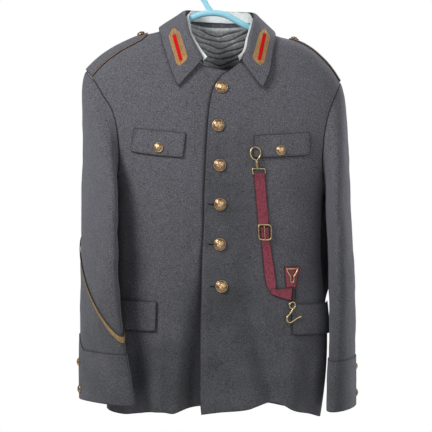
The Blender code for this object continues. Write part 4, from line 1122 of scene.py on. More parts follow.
def wire(name, surface, route, lift, radius, closed, finish):
    """A bent wire over (x, z) points, its middle lifted off a surface."""
    top = float(np.max(radius))
    path = np.array([surface.from_front(x, z, lift + top)[0] for x, z in route])
    if closed:
        path = (np.roll(path, 1, axis=0) + path * 2 + np.roll(path, -1, axis=0)) / 4
    else:
        path[1:-1] = (path[:-2] + path[1:-1] * 2 + path[2:]) / 4
    return tube(name, path, radius, closed, finish)


def strip(name, surface, stations, lift, thick, finish, rounding=0.8):
    """A strap over a surface; stations are (x, z, width, slant in degrees, extra lift)."""
    stations = np.array([tuple(row) + (0.0,) * (5 - len(row)) for row in stations], float)
    length = np.linalg.norm(np.diff(stations[:, :2], axis=0), axis=1)
    knot = np.concatenate([[0], np.cumsum(length)])
    fine = np.linspace(0, knot[-1], max(8, int(knot[-1] / 1.6)))
    rows = np.stack([np.interp(fine, knot, stations[:, n]) for n in range(5)], axis=-1)
    x, z, width, slant, extra = [rows[:, n, None] for n in range(5)]
    share = np.linspace(-0.5, 0.5, 15)[None]
    slant = np.radians(slant)
    places = np.stack([x + np.cos(slant) * width * share, z + np.sin(slant) * width * share], axis=-1)
    inside, away = rest_on(surface, places, lift + extra + np.zeros(places.shape[:2]))
    for _ in range(4):
        inside[1:-1] = (inside[:-2] + inside[1:-1] * 2 + inside[2:]) / 4
    outside = inside + away.mean(axis=1, keepdims=True) * thick
    return shell(name, outside, away.mean(axis=(0, 1)), thick, finish, rounding=rounding), outside


# What repeats: stitches, bullion threads and twisted cord


def add_node(tree, kind, links=(), **values):
    """A node with its links, (input, output socket) pairs, and its values by input name."""
    node = tree.nodes.new(kind)
    for key, value in values.items():
        if hasattr(node, key):
            setattr(node, key, value)
        else:
            node.inputs[key.replace("_", " ")].default_value = value
    for socket, source in links:
        tree.links.new(source, node.inputs[socket])
    return node


def maths(tree, operation, first, second):
    """What a Math node gives for a socket and another socket or a number."""
    node = add_node(tree, "ShaderNodeMath", [(0, first)], operation=operation)
    if isinstance(second, float):
        node.inputs[1].default_value = second
    else:
        tree.links.new(second, node.inputs[1])
    return node.outputs[0]


def new_tree(name, numbers):
    """A Geometry Nodes tree with named number inputs and a material."""
    tree = bpy.data.node_groups.new(name, "GeometryNodeTree")
    tree.interface.new_socket("Geometry", in_out="INPUT", socket_type="NodeSocketGeometry")
    for number in numbers:
        tree.interface.new_socket(number, in_out="INPUT", socket_type="NodeSocketFloat")
    tree.interface.new_socket("Material", in_out="INPUT", socket_type="NodeSocketMaterial")
    tree.interface.new_socket("Geometry", in_out="OUTPUT", socket_type="NodeSocketGeometry")
    return tree, tree.nodes.new("NodeGroupInput"), tree.nodes.new("NodeGroupOutput")


def close_tree(tree, given, taken, geometry):
    """Ends a tree with real, smooth and coloured geometry."""
    real = add_node(tree, "GeometryNodeRealizeInstances", [("Geometry", geometry)])
    smooth = add_node(tree, "GeometryNodeSetShadeSmooth", [("Geometry", real.outputs[0])])
    links = [("Geometry", smooth.outputs[0]), ("Material", given.outputs["Material"])]
    coloured = add_node(tree, "GeometryNodeSetMaterial", links)
    tree.links.new(coloured.outputs[0], taken.inputs[0])
    return tree


def stitch_tree():
    """Short threads laid end to end along lines, a little uneven."""
    tree, given, taken = new_tree("stitch rows", ["Pitch", "Half length", "Half width"])
    line = add_node(tree, "GeometryNodeMeshToCurve", [("Mesh", given.outputs["Geometry"])])
    links = [("Curve", line.outputs[0]), ("Length", given.outputs["Pitch"])]
    spots = add_node(tree, "GeometryNodeCurveToPoints", links, mode="LENGTH")
    links = [(0, given.outputs["Half width"]), (1, given.outputs["Half width"])]
    size = add_node(tree, "ShaderNodeCombineXYZ", links + [(2, given.outputs["Half length"])])
    uneven = add_node(tree, "FunctionNodeRandomValue", data_type="FLOAT")
    uneven.inputs[2].default_value, uneven.inputs[3].default_value = 0.86, 1.12
    uneven.inputs["Seed"].default_value = 7
    scaled = add_node(tree, "ShaderNodeVectorMath", [(0, size.outputs[0])], operation="SCALE")
    tree.links.new(uneven.outputs[1], scaled.inputs["Scale"])
    thread = add_node(tree, "GeometryNodeMeshUVSphere")
    thread.inputs["Segments"].default_value, thread.inputs["Rings"].default_value = 6, 5
    thread.inputs["Radius"].default_value = 1.0
    links = [
        ("Points", spots.outputs["Points"]),
        ("Instance", thread.outputs["Mesh"]),
        ("Rotation", spots.outputs["Rotation"]),
        ("Scale", scaled.outputs[0]),
    ]
    rows = add_node(tree, "GeometryNodeInstanceOnPoints", links)
    return close_tree(tree, given, taken, rows.outputs[0])


def cord_tree():
    """Three strands twisted round each line."""
    tree, given, taken = new_tree("twisted cord", ["Step", "Strand", "Twist"])
    line = add_node(tree, "GeometryNodeMeshToCurve", [("Mesh", given.outputs["Geometry"])])
    even = add_node(tree, "GeometryNodeResampleCurve", [("Curve", line.outputs[0])], mode="LENGTH")
    tree.links.new(given.outputs["Step"], even.inputs["Length"])
    along = tree.nodes.new("GeometryNodeSplineParameter")
    turn = maths(tree, "MULTIPLY", along.outputs["Length"], given.outputs["Twist"])
    links = [("Curve", even.outputs[0]), ("Tilt", turn)]
    wound = add_node(tree, "GeometryNodeSetCurveTilt", links)
    three = add_node(tree, "GeometryNodeMeshCircle", [("Radius", given.outputs["Strand"])])
    three.inputs["Vertices"].default_value = 3
    ring = add_node(tree, "GeometryNodeCurvePrimitiveCircle", [("Radius", given.outputs["Strand"])])
    ring.inputs["Resolution"].default_value = 7
    links = [("Points", three.outputs["Mesh"]), ("Instance", ring.outputs["Curve"])]
    strands = add_node(tree, "GeometryNodeInstanceOnPoints", links)
    real = add_node(tree, "GeometryNodeRealizeInstances", [("Geometry", strands.outputs[0])])
    links = [("Curve", wound.outputs[0]), ("Profile Curve", real.outputs[0])]
    swept = add_node(tree, "GeometryNodeCurveToMesh", links)
    swept.inputs["Fill Caps"].default_value = True
    return close_tree(tree, given, taken, swept.outputs[0])


def grow_on_lines(name, tree, lines, finish, **values):
    """Lines of points in millimetres, turned into the mesh that a tree grows on them."""
    points, edges = [], []
    for line in lines:
        first = len(points)
        points += [tuple(np.asarray(p, float) * MM) for p in line]
        edges += [(first + k, first + k + 1) for k in range(len(line) - 1)]
    mesh = bpy.data.meshes.new(name)
    mesh.from_pydata(points, edges, [])
    thing = bpy.data.objects.new(name, mesh)
    bpy.context.scene.collection.objects.link(thing)
    grower = thing.modifiers.new("grow", "NODES")
    grower.node_group = tree
    for item in tree.interface.items_tree:
        if item.item_type == "SOCKET" and item.in_out == "INPUT":
            if item.name == "Material":
                grower[item.identifier] = finish
            elif item.name in values:
                grower[item.identifier] = values[item.name]
    bpy.context.view_layer.update()
    grown = thing.evaluated_get(bpy.context.evaluated_depsgraph_get())
    plain = bpy.data.meshes.new_from_object(grown)
    thing.modifiers.clear()
    thing.data = plain
    plain.name = name
    return thing


def inset_line(grid, distance, lift):
    """A line at a distance along each row from its start, lifted off the grid."""
    line = []
    for row, normals in zip(grid, facing(grid, False, TO_FRONT)):
        length = running(row, 0)
        place = [np.interp(distance, length, row[:, n]) for n in range(3)]
        normal = [np.interp(distance, length, normals[:, n]) for n in range(3)]
        line.append(np.array(place) + np.array(normal) * lift)
    return line


def border(grid, away):
    """The line round three sides of a grid, some cells in: down, along the last row and up."""
    step = 3
    raised = grid + away * STITCH_LIFT
    down = raised[1 : -step - 1, step]
    along = raised[-step - 1, step:-step]
    return np.concatenate([down, along, raised[1 : -step - 1, -step - 1][::-1]])


# Finishes


def material(name):
    """A new finish with its node tree and shader."""
    finish = bpy.data.materials.new(name)
    finish.use_nodes = True
    tree = finish.node_tree
    return finish, tree, tree.nodes["Principled BSDF"]


def grain_group():
    """Mottling and fibre height shared by the cloths and leathers."""
    tree = bpy.data.node_groups.new("grain", "ShaderNodeTree")
    tree.interface.new_socket("Vector", in_out="INPUT", socket_type="NodeSocketVector")
    for name in ("Mottle scale", "Fibre scale"):
        tree.interface.new_socket(name, in_out="INPUT", socket_type="NodeSocketFloat")
    for name in ("Mottle", "Height"):
        tree.interface.new_socket(name, in_out="OUTPUT", socket_type="NodeSocketFloat")
    given, taken = tree.nodes.new("NodeGroupInput"), tree.nodes.new("NodeGroupOutput")
    found = []
    for scale, detail in (("Mottle scale", 3.0), ("Fibre scale", 2.0)):
        links = [("Vector", given.outputs["Vector"]), ("Scale", given.outputs[scale])]
        found.append(add_node(tree, "ShaderNodeTexNoise", links, Detail=detail, Roughness=0.62))
    fibre_share = 0.45
    both = maths(tree, "ADD", found[0].outputs[0], maths(tree, "MULTIPLY", found[1].outputs[0], fibre_share))
    tree.links.new(maths(tree, "SUBTRACT", both, fibre_share / 2), taken.inputs["Mottle"])
    tree.links.new(found[1].outputs[0], taken.inputs["Height"])
    return tree


def weave_group():
    """Height of crossed threads from flat cloth coordinates."""
    tree = bpy.data.node_groups.new("weave", "ShaderNodeTree")
    tree.interface.new_socket("Vector", in_out="INPUT", socket_type="NodeSocketVector")
    tree.interface.new_socket("Threads", in_out="INPUT", socket_type="NodeSocketFloat")
    tree.interface.new_socket("Height", in_out="OUTPUT", socket_type="NodeSocketFloat")
    given, taken = tree.nodes.new("NodeGroupInput"), tree.nodes.new("NodeGroupOutput")
    scaled = add_node(tree, "ShaderNodeVectorMath", [(0, given.outputs["Vector"])], operation="SCALE")
    tree.links.new(given.outputs["Threads"], scaled.inputs["Scale"])
    parts = add_node(tree, "ShaderNodeSeparateXYZ", [(0, scaled.outputs[0])])
    waves = []
    for n in (0, 1):
        wave = add_node(tree, "ShaderNodeMath", [(0, parts.outputs[n])], operation="SINE")
        waves.append(wave.outputs[0])
    tree.links.new(maths(tree, "MULTIPLY", *waves), taken.inputs["Height"])
    return tree


def grained(name, dark, light, rough, mottle, fibre, bump, depth, **settings):
    """A finish whose colour runs between two by its grain, with a fine bump."""
    finish, tree, shader = material(name)
    coords = tree.nodes.new("ShaderNodeTexCoord")
    grain = add_node(tree, "ShaderNodeGroup", node_tree=GRAIN)
    tree.links.new(coords.outputs["Object"], grain.inputs["Vector"])
    grain.inputs["Mottle scale"].default_value = mottle
    grain.inputs["Fibre scale"].default_value = fibre
    ramp = add_node(tree, "ShaderNodeValToRGB", [("Fac", grain.outputs["Mottle"])])
    ramp.color_ramp.elements[0].position, ramp.color_ramp.elements[1].position = 0.34, 0.68
    ramp.color_ramp.elements[0].color = (*dark, 1)
    ramp.color_ramp.elements[1].color = (*light, 1)
    raised = add_node(tree, "ShaderNodeBump", [("Height", grain.outputs["Height"])])
    raised.inputs["Strength"].default_value = bump
    raised.inputs["Distance"].default_value = depth
    tree.links.new(ramp.outputs["Color"], shader.inputs["Base Color"])
    tree.links.new(raised.outputs["Normal"], shader.inputs["Normal"])
    shader.inputs["Roughness"].default_value = rough
    for key, value in settings.items():
        shader.inputs[key.replace("_", " ")].default_value = value
    return finish, tree, shader, grain, ramp, raised


def ramped(tree, source, start, end, **values):
    """0 to 1 as a socket's number goes from start to end."""
    span = add_node(tree, "ShaderNodeMapRange", [(0, source)], **values)
    span.inputs["From Min"].default_value, span.inputs["From Max"].default_value = start, end
    return span.outputs[0]


def shaded(tree, colour, share, shade):
    """A colour, multiplied by a shade where share is high."""
    tone = add_node(tree, "ShaderNodeMix", [("Factor", share)], data_type="RGBA", blend_type="MULTIPLY")
    tree.links.new(colour, tone.inputs[6])
    tone.inputs[7].default_value = (*shade, 1)
    return tone.outputs[2]


def painted_shade_share(tree):
    """How strongly painted shade darkens a place."""
    return add_node(tree, "ShaderNodeAttribute", attribute_name="edge").outputs["Fac"]


def wool_finish():
    """Grey wool: greener and darker low down, a painted shade, and in a strip beside the front edge; painted
    shade darkens its edges.
    """
    finish, tree, shader, _, ramp, _ = grained(
        "grey wool", (0.036, 0.037, 0.040), (0.176, 0.172, 0.196), 0.92, 600, 2300, 0.5, 0.0004,
        Sheen_Weight=0.22, Sheen_Roughness=0.55, Specular_IOR_Level=0.18,
    )
    shader.inputs["Sheen Tint"].default_value = (0.75, 0.76, 0.85, 1)
    coords = tree.nodes.new("ShaderNodeTexCoord")
    links = [("Vector", coords.outputs["Object"])]
    soft = add_node(tree, "ShaderNodeTexNoise", links, Scale=14.0, Detail=3.0)
    place = add_node(tree, "ShaderNodeSeparateXYZ", [(0, coords.outputs["Object"])])
    # Painted shade: the wool darker and greener low down
    low = ramped(tree, place.outputs["Z"], -0.35, -0.80)
    # Darker and greener too in a strip beside the front edge
    reach = (("X", -0.024, -0.006), ("X", 0.125, 0.045), ("Y", -0.04, -0.07), ("Z", -0.20, -0.46))
    spans = []
    for axis, start, end in reach:
        spans.append(ramped(tree, place.outputs[axis], start, end, interpolation_type="SMOOTHSTEP"))
    beside_edge = spans[0]
    for span in spans[1:]:
        beside_edge = maths(tree, "MULTIPLY", beside_edge, span)
    wear_and_shade = maths(tree, "MAXIMUM", low, beside_edge)
    wear_and_shade_colour = shaded(
        tree, ramp.outputs["Color"], maths(tree, "MULTIPLY", wear_and_shade, soft.outputs[0]), (0.22, 0.25, 0.19)
    )
    # Painted shade at the cloth's edges and wherever a piece adds more
    colour = shaded(tree, wear_and_shade_colour, painted_shade_share(tree), (0.15, 0.15, 0.15))
    tree.links.new(colour, shader.inputs["Base Color"])
    return finish


def with_painted_shade(parts, shade):
    """Paints shade into a finish where the piece's edge mark is high, as in the hollows of a button."""
    finish, tree, shader, _, ramp, _ = parts
    colour = shaded(tree, ramp.outputs["Color"], painted_shade_share(tree), shade)
    tree.links.new(colour, shader.inputs["Base Color"])
    return finish


def woven_finish(name, dark, light, rough, threads, shade, **settings):
    """A grained finish with crossed threads along the cut, with painted shade where it is marked."""
    parts = grained(name, dark, light, rough, 160, 900, 0.35, 0.0002, **settings)
    finish, tree, shader, _, _, raised = parts
    with_painted_shade(parts, shade)
    cut = add_node(tree, "ShaderNodeUVMap", uv_map="cut")
    weave = add_node(tree, "ShaderNodeGroup", node_tree=WEAVE)
    tree.links.new(cut.outputs[0], weave.inputs["Vector"])
    weave.inputs["Threads"].default_value = threads
    links = [("Height", weave.outputs["Height"]), ("Normal", raised.outputs["Normal"])]
    crossed = add_node(tree, "ShaderNodeBump", links)
    crossed.inputs["Strength"].default_value = 0.3
    crossed.inputs["Distance"].default_value = 0.0002
    tree.links.new(crossed.outputs["Normal"], shader.inputs["Normal"])
    return finish


def band_finish():
    """Tan face with painted shade along its upper edge, by the height on the cut strap."""
    finish, tree, shader, _, ramp, _ = grained(
        "banded leather", (0.17, 0.10, 0.035), (0.38, 0.25, 0.09), 0.5, 300, 1200, 0.4, 0.0003
    )
    cut = add_node(tree, "ShaderNodeUVMap", uv_map="cut")
    parts = add_node(tree, "ShaderNodeSeparateXYZ", [(0, cut.outputs[0])])
    # Painted shade: dark along the strap's upper edge
    level = ramped(tree, parts.outputs["Y"], -0.0044, -0.0030)
    tone = add_node(tree, "ShaderNodeMix", [("Factor", level)], data_type="RGBA")
    tree.links.new(ramp.outputs["Color"], tone.inputs[6])
    tone.inputs[7].default_value = (0.022, 0.018, 0.016, 1)
    tree.links.new(tone.outputs[2], shader.inputs["Base Color"])
    return finish


GRAIN = grain_group()
WEAVE = weave_group()
WOOL = wool_finish()
# Slight painted shade along the liner's edges
LINER = woven_finish(
    "white liner", (0.80, 0.85, 0.83), (0.94, 0.955, 0.935), 0.8, 5200, (0.86, 0.87, 0.87), Sheen_Weight=0.1
)
# Painted shade in the lining's seams and under the left front; its grey is also lighter than the cloth's
# own, partly painted light for the shade it hangs in
SATIN = woven_finish(
    "grey satin", (0.46, 0.465, 0.46), (0.78, 0.78, 0.77), 0.36, 7000, (0.16, 0.16, 0.165), Sheen_Weight=0.2
)
# Stitching made nearly black: partly painted shade of the buttonhole slits
BUTTONHOLE_SHADE_THREAD = grained(
    "dark thread", (0.004, 0.004, 0.005), (0.014, 0.013, 0.013), 0.9, 900, 2500, 0.2, 0.0001
)[0]
THREAD = grained(
    "grey thread", (0.03, 0.03, 0.034), (0.075, 0.075, 0.085), 0.8, 900, 2500, 0.2, 0.0001
)[0]
GILT_PARTS = grained(
    "copper gilt", (0.46, 0.27, 0.13), (1.0, 0.74, 0.46), 0.34, 420, 1600, 0.15, 0.0001,
    Metallic=1.0,
)
# Painted shade in the buttons' grooves and hollows
GILT = with_painted_shade(GILT_PARTS, (0.30, 0.24, 0.18))
BRASS = grained(
    "worn brass", (0.36, 0.26, 0.12), (0.78, 0.62, 0.36), 0.33, 500, 1700, 0.15, 0.0001,
    Metallic=1.0,
)[0]
DARK = grained(
    "dark metal", (0.02, 0.018, 0.018), (0.06, 0.055, 0.05), 0.4, 500, 1700, 0.15, 0.0001,
    Metallic=0.8,
)[0]
MAROON_PARTS = grained(
    "maroon leather", (0.15, 0.020, 0.036), (0.30, 0.050, 0.080), 0.46, 260, 1300, 0.45, 0.0004,
    Specular_IOR_Level=0.35,
)
# Painted shade along the leather straps' edges
MAROON = with_painted_shade(MAROON_PARTS, (0.20, 0.16, 0.16))
STITCHES = grained(
    "maroon thread", (0.20, 0.07, 0.08), (0.38, 0.15, 0.15), 0.7, 900, 2500, 0.2, 0.0001
)[0]
TAN = band_finish()
GOLD = grained(
    "gold wire", (0.27, 0.14, 0.045), (0.68, 0.40, 0.15), 0.45, 700, 2200, 0.2, 0.0001,
    Metallic=0.35,
)[0]
PIPING = grained(
    "tan piping", (0.24, 0.15, 0.08), (0.46, 0.32, 0.19), 0.6, 700, 2200, 0.3, 0.0002,
    Metallic=0.2,
)[0]
RED = grained(
    "red felt", (0.42, 0.004, 0.006), (0.64, 0.010, 0.012), 0.9, 600, 1800, 0.4, 0.0003,
    Specular_IOR_Level=0.1,
)[0]
PLASTIC = grained(
    "light blue plastic", (0.30, 0.69, 0.82), (0.36, 0.75, 0.87), 0.3, 60, 500, 0.04, 0.0002,
    Subsurface_Weight=0.15,
)[0]
PALE = grained("pale floor", (0.78, 0.78, 0.78), (0.82, 0.82, 0.82), 0.7, 12, 60, 0.02, 0.0002)[0]
STITCH_ROWS = stitch_tree()
TWISTED = cord_tree()


# Putting it together


def keep(thing, node):
    """Shows a piece in place of a CAD node, or beside it where node is empty."""
    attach(thing, "root")
    if node:
        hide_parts(node)


def cloth(thing, grid, node, slot="wool", closed=False):
    """A cloth piece in place of its node; the size of its cut, all round where it is a tube, is worked out
    but not kept.
    """
    keep(thing, node)
    area = sum(face.area for face in thing.data.polygons) / 2
    step = np.linalg.norm(np.diff(grid, axis=1), axis=-1).sum(axis=1)
    if closed:
        step = step + np.linalg.norm(grid[:, 0] - grid[:, -1], axis=-1)
    fall = np.linalg.norm(np.diff(grid, axis=0), axis=-1).sum(axis=0)
    width, length = float(step.max()) * MM, float(fall.max()) * MM
    area = max(min(area, width * length), LEAST_OF_CUT * width * length)


def edge_fade(grid, near=False):
    """Softly 0 at a grid's top and far side, and at its near side too where asked."""
    distance = 16
    from_near = running(grid, 1)
    fade = ease((from_near[:, -1:] - from_near) / distance)
    if near:
        fade *= ease(from_near / distance)
    return fade * ease(running(grid, 0) / distance)


def billow(grid, fade):
    """Lets the back belly out beside the left sleeve, where the front shows it through the gap."""
    beside = np.exp(-(((grid[..., 1] - 38) / 23) ** 2)) * np.exp(-(((grid[..., 2] + 512) / 106) ** 6))
    out = grid.copy()
    out[..., 0] += 29 * beside * fade * ease((grid[..., 0] - 120) / 60)
    return out


def creased(grid, side, lift, fade):
    """A panel with its creases and soft unevenness. side is -1 in front and 1 behind."""
    away = facing(grid, False, side * TO_BACK)
    x, z = grid[..., 0], grid[..., 2]
    lift = lift(x, z) + 1.1 * wander(grid, 58, 1) + 0.5 * wander(grid, 21, 2)
    return keep_side(grid + away * (lift * fade)[..., None], side)


def panels():
    """The fronts and the back, creased; returns their outside grids."""
    lead = (UNDERLAP_EDGE, RIGHT_LEAD, UNDERLAP_COLUMNS)
    right = front_panel(*lead, RIGHT_NECK, RIGHT_HEM, RIGHT_ARMHOLE, RIGHT_FOLDS)
    edge = spread(OVERLAP_EDGE, 400)
    edge_x = np.interp(-right[..., 2], -edge[:, 1], edge[:, 0])
    right[..., 1] += UNDERLAP_DROP * ease((right[..., 0] - edge_x + 38) / 34)
    lead = (OVERLAP_EDGE, LEFT_LEAD, OVERLAP_COLUMNS)
    left = front_panel(*lead, LEFT_NECK, LEFT_HEM, LEFT_ARMHOLE, LEFT_FOLDS)
    back = back_panel()
    right, left, back = keep_side(right, -1), keep_side(left, -1), keep_side(back, 1)

    def right_lift(x, z):
        shared = ease((x - edge_x + 22) / 16)
        return pressed(x, z, RIGHT_CREASES) * (1 - shared) + pressed(x, z, LEFT_CREASES) * shared

    right = creased(right, -1, right_lift, edge_fade(right))
    left = creased(left, -1, lambda x, z: pressed(x, z, LEFT_CREASES), edge_fade(left))
    fade = edge_fade(back, near=True)
    back = creased(back, 1, lambda x, z: pressed(x, z, BACK_CREASES), fade)
    back = billow(back, fade)
    return right, left, back


def overlap_painted_shadow(points):
    """Painted shadow on the right front beside the left front's edge, which lies on it; it reaches wider low
    down.
    """
    edge = np.concatenate([np.array(LEFT_LEAD[:0:-1], float), spread(OVERLAP_EDGE, 400)])
    edge_x = np.interp(-points[..., 2], -edge[:, 1], edge[:, 0])
    low = ease((-points[..., 2] - 500) / 260)
    reach = 4.2 + 22.0 * low
    beside = np.clip(edge_x - points[..., 0], 0, None) / reach
    return np.exp(-(beside**2)) * (0.98 - 0.10 * low)


def buttonhole(body, spot):
    """Two rows of thread round a slit beside a button; nearly black and thick, they are stitching and also
    painted shade of the slit.
    """
    x, z = spot
    return [[body.from_front(x - 21.5 + k, row, 0.45)[0] for k in range(13)] for row in (z + 0.6, z - 0.6)]


def patch_threads(grid, away, share_from, share_to, slope):
    """Threads laid across a patch between two shares of its width, ends uneven."""
    rows, columns = grid.shape[:2]
    raised = grid + away * 0.35
    lines = []
    for n, row in enumerate(np.arange(2, rows - 3, 0.56)):
        jag = 0.5 + 0.5 * math.sin(n * 2.4) * math.cos(n * 0.9)
        outer = share_to + (0.05 * jag if share_to > share_from else -0.05 * jag)
        line = []
        for s in np.linspace(0, 1, 9):
            c = np.clip(share_from + (outer - share_from) * s, 0.0, 1.0) * (columns - 1)
            r = np.clip(row + slope * s, 0, rows - 1)
            j, i = min(int(r), rows - 2), min(int(c), columns - 2)
            a = raised[j, i] * (1 - (c - i)) + raised[j, i + 1] * (c - i)
            b = raised[j + 1, i] * (1 - (c - i)) + raised[j + 1, i + 1] * (c - i)
            line.append(a * (1 - (r - j)) + b * (r - j))
        lines.append(line)
    return lines


def collar_patches(surface):
    """Pointed gold patches with a red bar; their threads are a plain leaf pattern."""
    shapes = {
        "right": (
            [(-73, -99, 2.5, 14), (-71.5, -111, 21, 14), (-63.5, -137, 21.5, 14), (-56.5, -161, 22, 14),
             (-61.6, -177, 3, 14)],
            [(-71.6, -112, 7, 14), (-64.5, -138.5, 7, 14), (-57.6, -164, 7, 14)],
        ),
        "left": (
            [(100, -98.5, 2.5, -14), (99.6, -112, 20, -14), (93.8, -137, 21, -14), (87.4, -161.5, 21.5, -14),
             (92, -176, 3, -14)],
            [(99.9, -108.5, 7, -12), (94.3, -136, 7, -12), (88.5, -163, 7, -12)],
        ),
    }
    for hand, (field, bar) in shapes.items():
        piece, grid = strip(f"collar_patch_{hand}", surface, field, SEAM, 0.9, GOLD, 0.3)
        keep(piece, f"collar_patch_{hand}")
        piece, _ = strip(f"patch_bar_{hand}", surface, bar, SEAM + 1.0, 0.9, RED, 0.4)
        keep(piece, f"patch_bar_{hand}")
        away = facing(grid, False, np.array([0, -1.0, 0.3]))
        lines = patch_threads(grid, away, 0.40, 0.0, -3.2) + patch_threads(grid, away, 0.60, 1.0, -3.2)
        values = {"Pitch": 0.0021, "Half length": 0.0014, "Half width": 0.00056}
        threads = grow_on_lines(f"patch_threads_{hand}", STITCH_ROWS, lines, GOLD, **values)
        keep(threads, "")


def stitched(name, lines, finish, pitch=0.0027, half=0.0011, width=0.00032):
    """Rows of stitches along lines; their sizes are in metres."""
    values = {"Pitch": pitch, "Half length": half, "Half width": width}
    keep(grow_on_lines(name, STITCH_ROWS, lines, finish, **values), "")


def sew_on(name, place, normal, size):
    """A gilt button in place of its CAD node."""
    keep(button(name, place, normal, size, GILT), name)


def brass_wire(name, surface, route, lift, radius, closed):
    """A bent brass wire in place of its CAD node."""
    keep(wire(name, surface, route, lift, radius, closed, BRASS), name)


def leather_piece(name, surface, stations):
    """A strap of the sword hanger with a row of stitches near each edge."""
    piece, grid = strip(name, surface, stations, LAY, 2.0, MAROON)
    keep(piece, name)
    raised = grid + facing(grid, False, TO_FRONT) * 0.04
    return [raised[1:-1, 2], raised[1:-1, -3]]


def sword_strap(surface):
    """The leather strap hung from the left chest flap, with its brass."""
    on_flap = CLOTH + LAY + 0.5
    turns = np.radians(np.arange(300, 601, 30))
    clip = round_path([(80.6 + 9.5 * math.cos(a), -339 + 11.5 * math.sin(a)) for a in turns], 60, False)
    stem = round_path([tuple(clip[-1]), (82, -352), (83, -359), (84.2, -366.2)], 30, False)[1:]
    swell = 1.4 + 1.5 * np.sin(np.linspace(0, 1, len(stem)) * math.pi) ** 2
    radius = np.concatenate([np.full(len(clip), 1.45), swell])
    route = np.concatenate([clip, stem])
    brass_wire("strap_clip", surface, route, on_flap, radius, False)
    gate = round_path([(86.6, -345), (85.4, -349.4), (82.8, -353.4)], 16, False)
    keep(wire("strap_clip_gate", surface, gate, on_flap + 0.5, 0.95, False, BRASS), "")
    outline = bent_frame([(75, -367.5), (99, -367.5), (99.5, -377.8), (76, -377.2)], 2.4)
    brass_wire("strap_loop", surface, outline, LAY, 1.25, True)

    over_bar = 2.7
    upper = [
        (88.2, -374.6, 21, 0, 0.9), (88.3, -376.4, 22, 0, over_bar), (88.4, -379, 22, 0, over_bar),
        (88.7, -383, 22, 0, 0.8), (89.2, -388, 22, 0, 0), (90.2, -400, 22, 0), (92.4, -425, 22, 0),
        (94.6, -449, 22, 0), (96.2, -468.4, 22, 0), (97, -475.5, 20, 0),
    ]
    lines = leather_piece("strap_upper", surface, upper)
    outline = bent_frame([(86.5, -471.8), (109.8, -472.6), (110.2, -500.6), (87.4, -500)], 6)
    brass_wire("strap_buckle", surface, outline, LAY + 2.2, 1.4, True)
    prong = round_path([(97, -473.6), (97.6, -484), (98.6, -500.6)], 24, False)
    brass_wire("strap_prong", surface, prong, LAY + 3.6, np.linspace(1.1, 0.8, 24), False)
    keeper = [(97.2, -475.9, 17.7, 0), (98.6, -486, 17.7, 0), (99.8, -500.4, 17.7, 0)]
    leather_piece("strap_keeper", surface, keeper)
    lower = [
        (99.9, -500.8, 17.7, 0), (103, -525, 18.5, 0), (106.3, -551, 20, 0), (109.6, -577, 21.3, 0),
        (111.4, -590, 19, -12), (113, -600, 14, -28),
    ]
    lines += leather_piece("strap_lower", surface, lower)
    end = [
        (110.5, -596, 9, 70, 2.3), (115, -598.5, 12, 74, 2.4), (121, -600.6, 14, 76, 1.6),
        (128, -601, 17, 76, 0.5), (137, -602, 21, 78), (150.5, -604, 25, 84),
    ]
    lines += leather_piece("strap_end", surface, end)
    tab = [(151, -550.7, 31, 0), (150.4, -558, 30, 0), (149.4, -572, 25, 0), (148.6, -591.5, 19.5, 0)]
    lines += leather_piece("strap_tab", surface, tab)
    stitched("strap_stitches", lines, STITCHES)
    # Dark discs stand in for the strap's holes as painted shade
    for n, (x, z) in enumerate(((97.4, -511), (102.4, -515))):
        place, normal = surface.from_front(x, z, LAY + 1.75)
        keep(eyelet(f"strap_hole_{n + 1}", place, normal), "")
    tip = [(150.9, -604.1, 25.5, 84, 0.3), (154, -604.3, 24, 84, 0.5), (157.6, -604.6, 19, 84, 0.3)]
    piece, _ = strip("strap_tip", surface, tip, LAY, 2.2, DARK, 0.7)
    keep(piece, "")

    waisted = [
        (139, -555.6), (161, -555.6), (158, -562), (153, -570), (152.8, -581), (147.2, -581),
        (147, -570), (142, -562),
    ]
    brass_wire("strap_triangle", surface, bent_frame(waisted, 2.2), LAY + 2.1, 1.35, True)
    bends = [
        (150.2, -631.6), (145.4, -639.6), (139.6, -646.5), (139.4, -653), (144.6, -656.8),
        (150.6, -653.6), (158, -648.8), (166, -645),
    ]
    hook = round_path(bends, 60, False)
    radius = 1.7 + np.exp(-(((np.arange(60) - 57) / 2.6) ** 2))
    brass_wire("strap_hook", surface, hook, on_flap + 0.6, radius, False)
    eye = [(150 + 5.4 * math.cos(a), -624.6 + 6 * math.sin(a)) for a in np.arange(40) * math.pi / 20]
    brass_wire("strap_hook_eye", surface, eye, on_flap + 0.4, 1.3, True)


def eyelet(name, place, normal):
    """A small punched hole, shown as a dark dished disc that is painted shade in place of the hole."""
    way, right_way, up_way = turned_way(normal)
    turn = np.arange(20) * math.pi / 10
    arm = right_way * np.cos(turn)[:, None] + up_way * np.sin(turn)[:, None]
    points = [place]
    rings = ((1.5, 0.0), (1.5, 0.3), (1.2, 0.38), (0.9, 0.3))
    for radius, height in rings:
        points += list(place + arm * radius + way * height)
    points.append(place + way * 0.12)
    return add_object(name, points, disc_faces(len(turn), len(rings)), DARK)


def sleeve_band():
    """A narrow strap slung slantwise round the right sleeve."""
    turn = np.arange(240) * math.pi / 120
    rows = []
    for level in np.linspace(5.0, -5.4, 11):
        grow = LAY + 0.3 + 1.6 + 0.35 * (1 - (level / 4.6) ** 2)
        wider = 1 + 0.4 * np.clip(np.sin(turn), 0, 1)
        rows.append(sleeve_ring(RIGHT_SLEEVE, band_height(turn) + level * wider, 1, grow, turn))
    grid = np.array(rows)
    return shell("sleeve_band", grid, None, 1.6, TAN, True, 0.5)


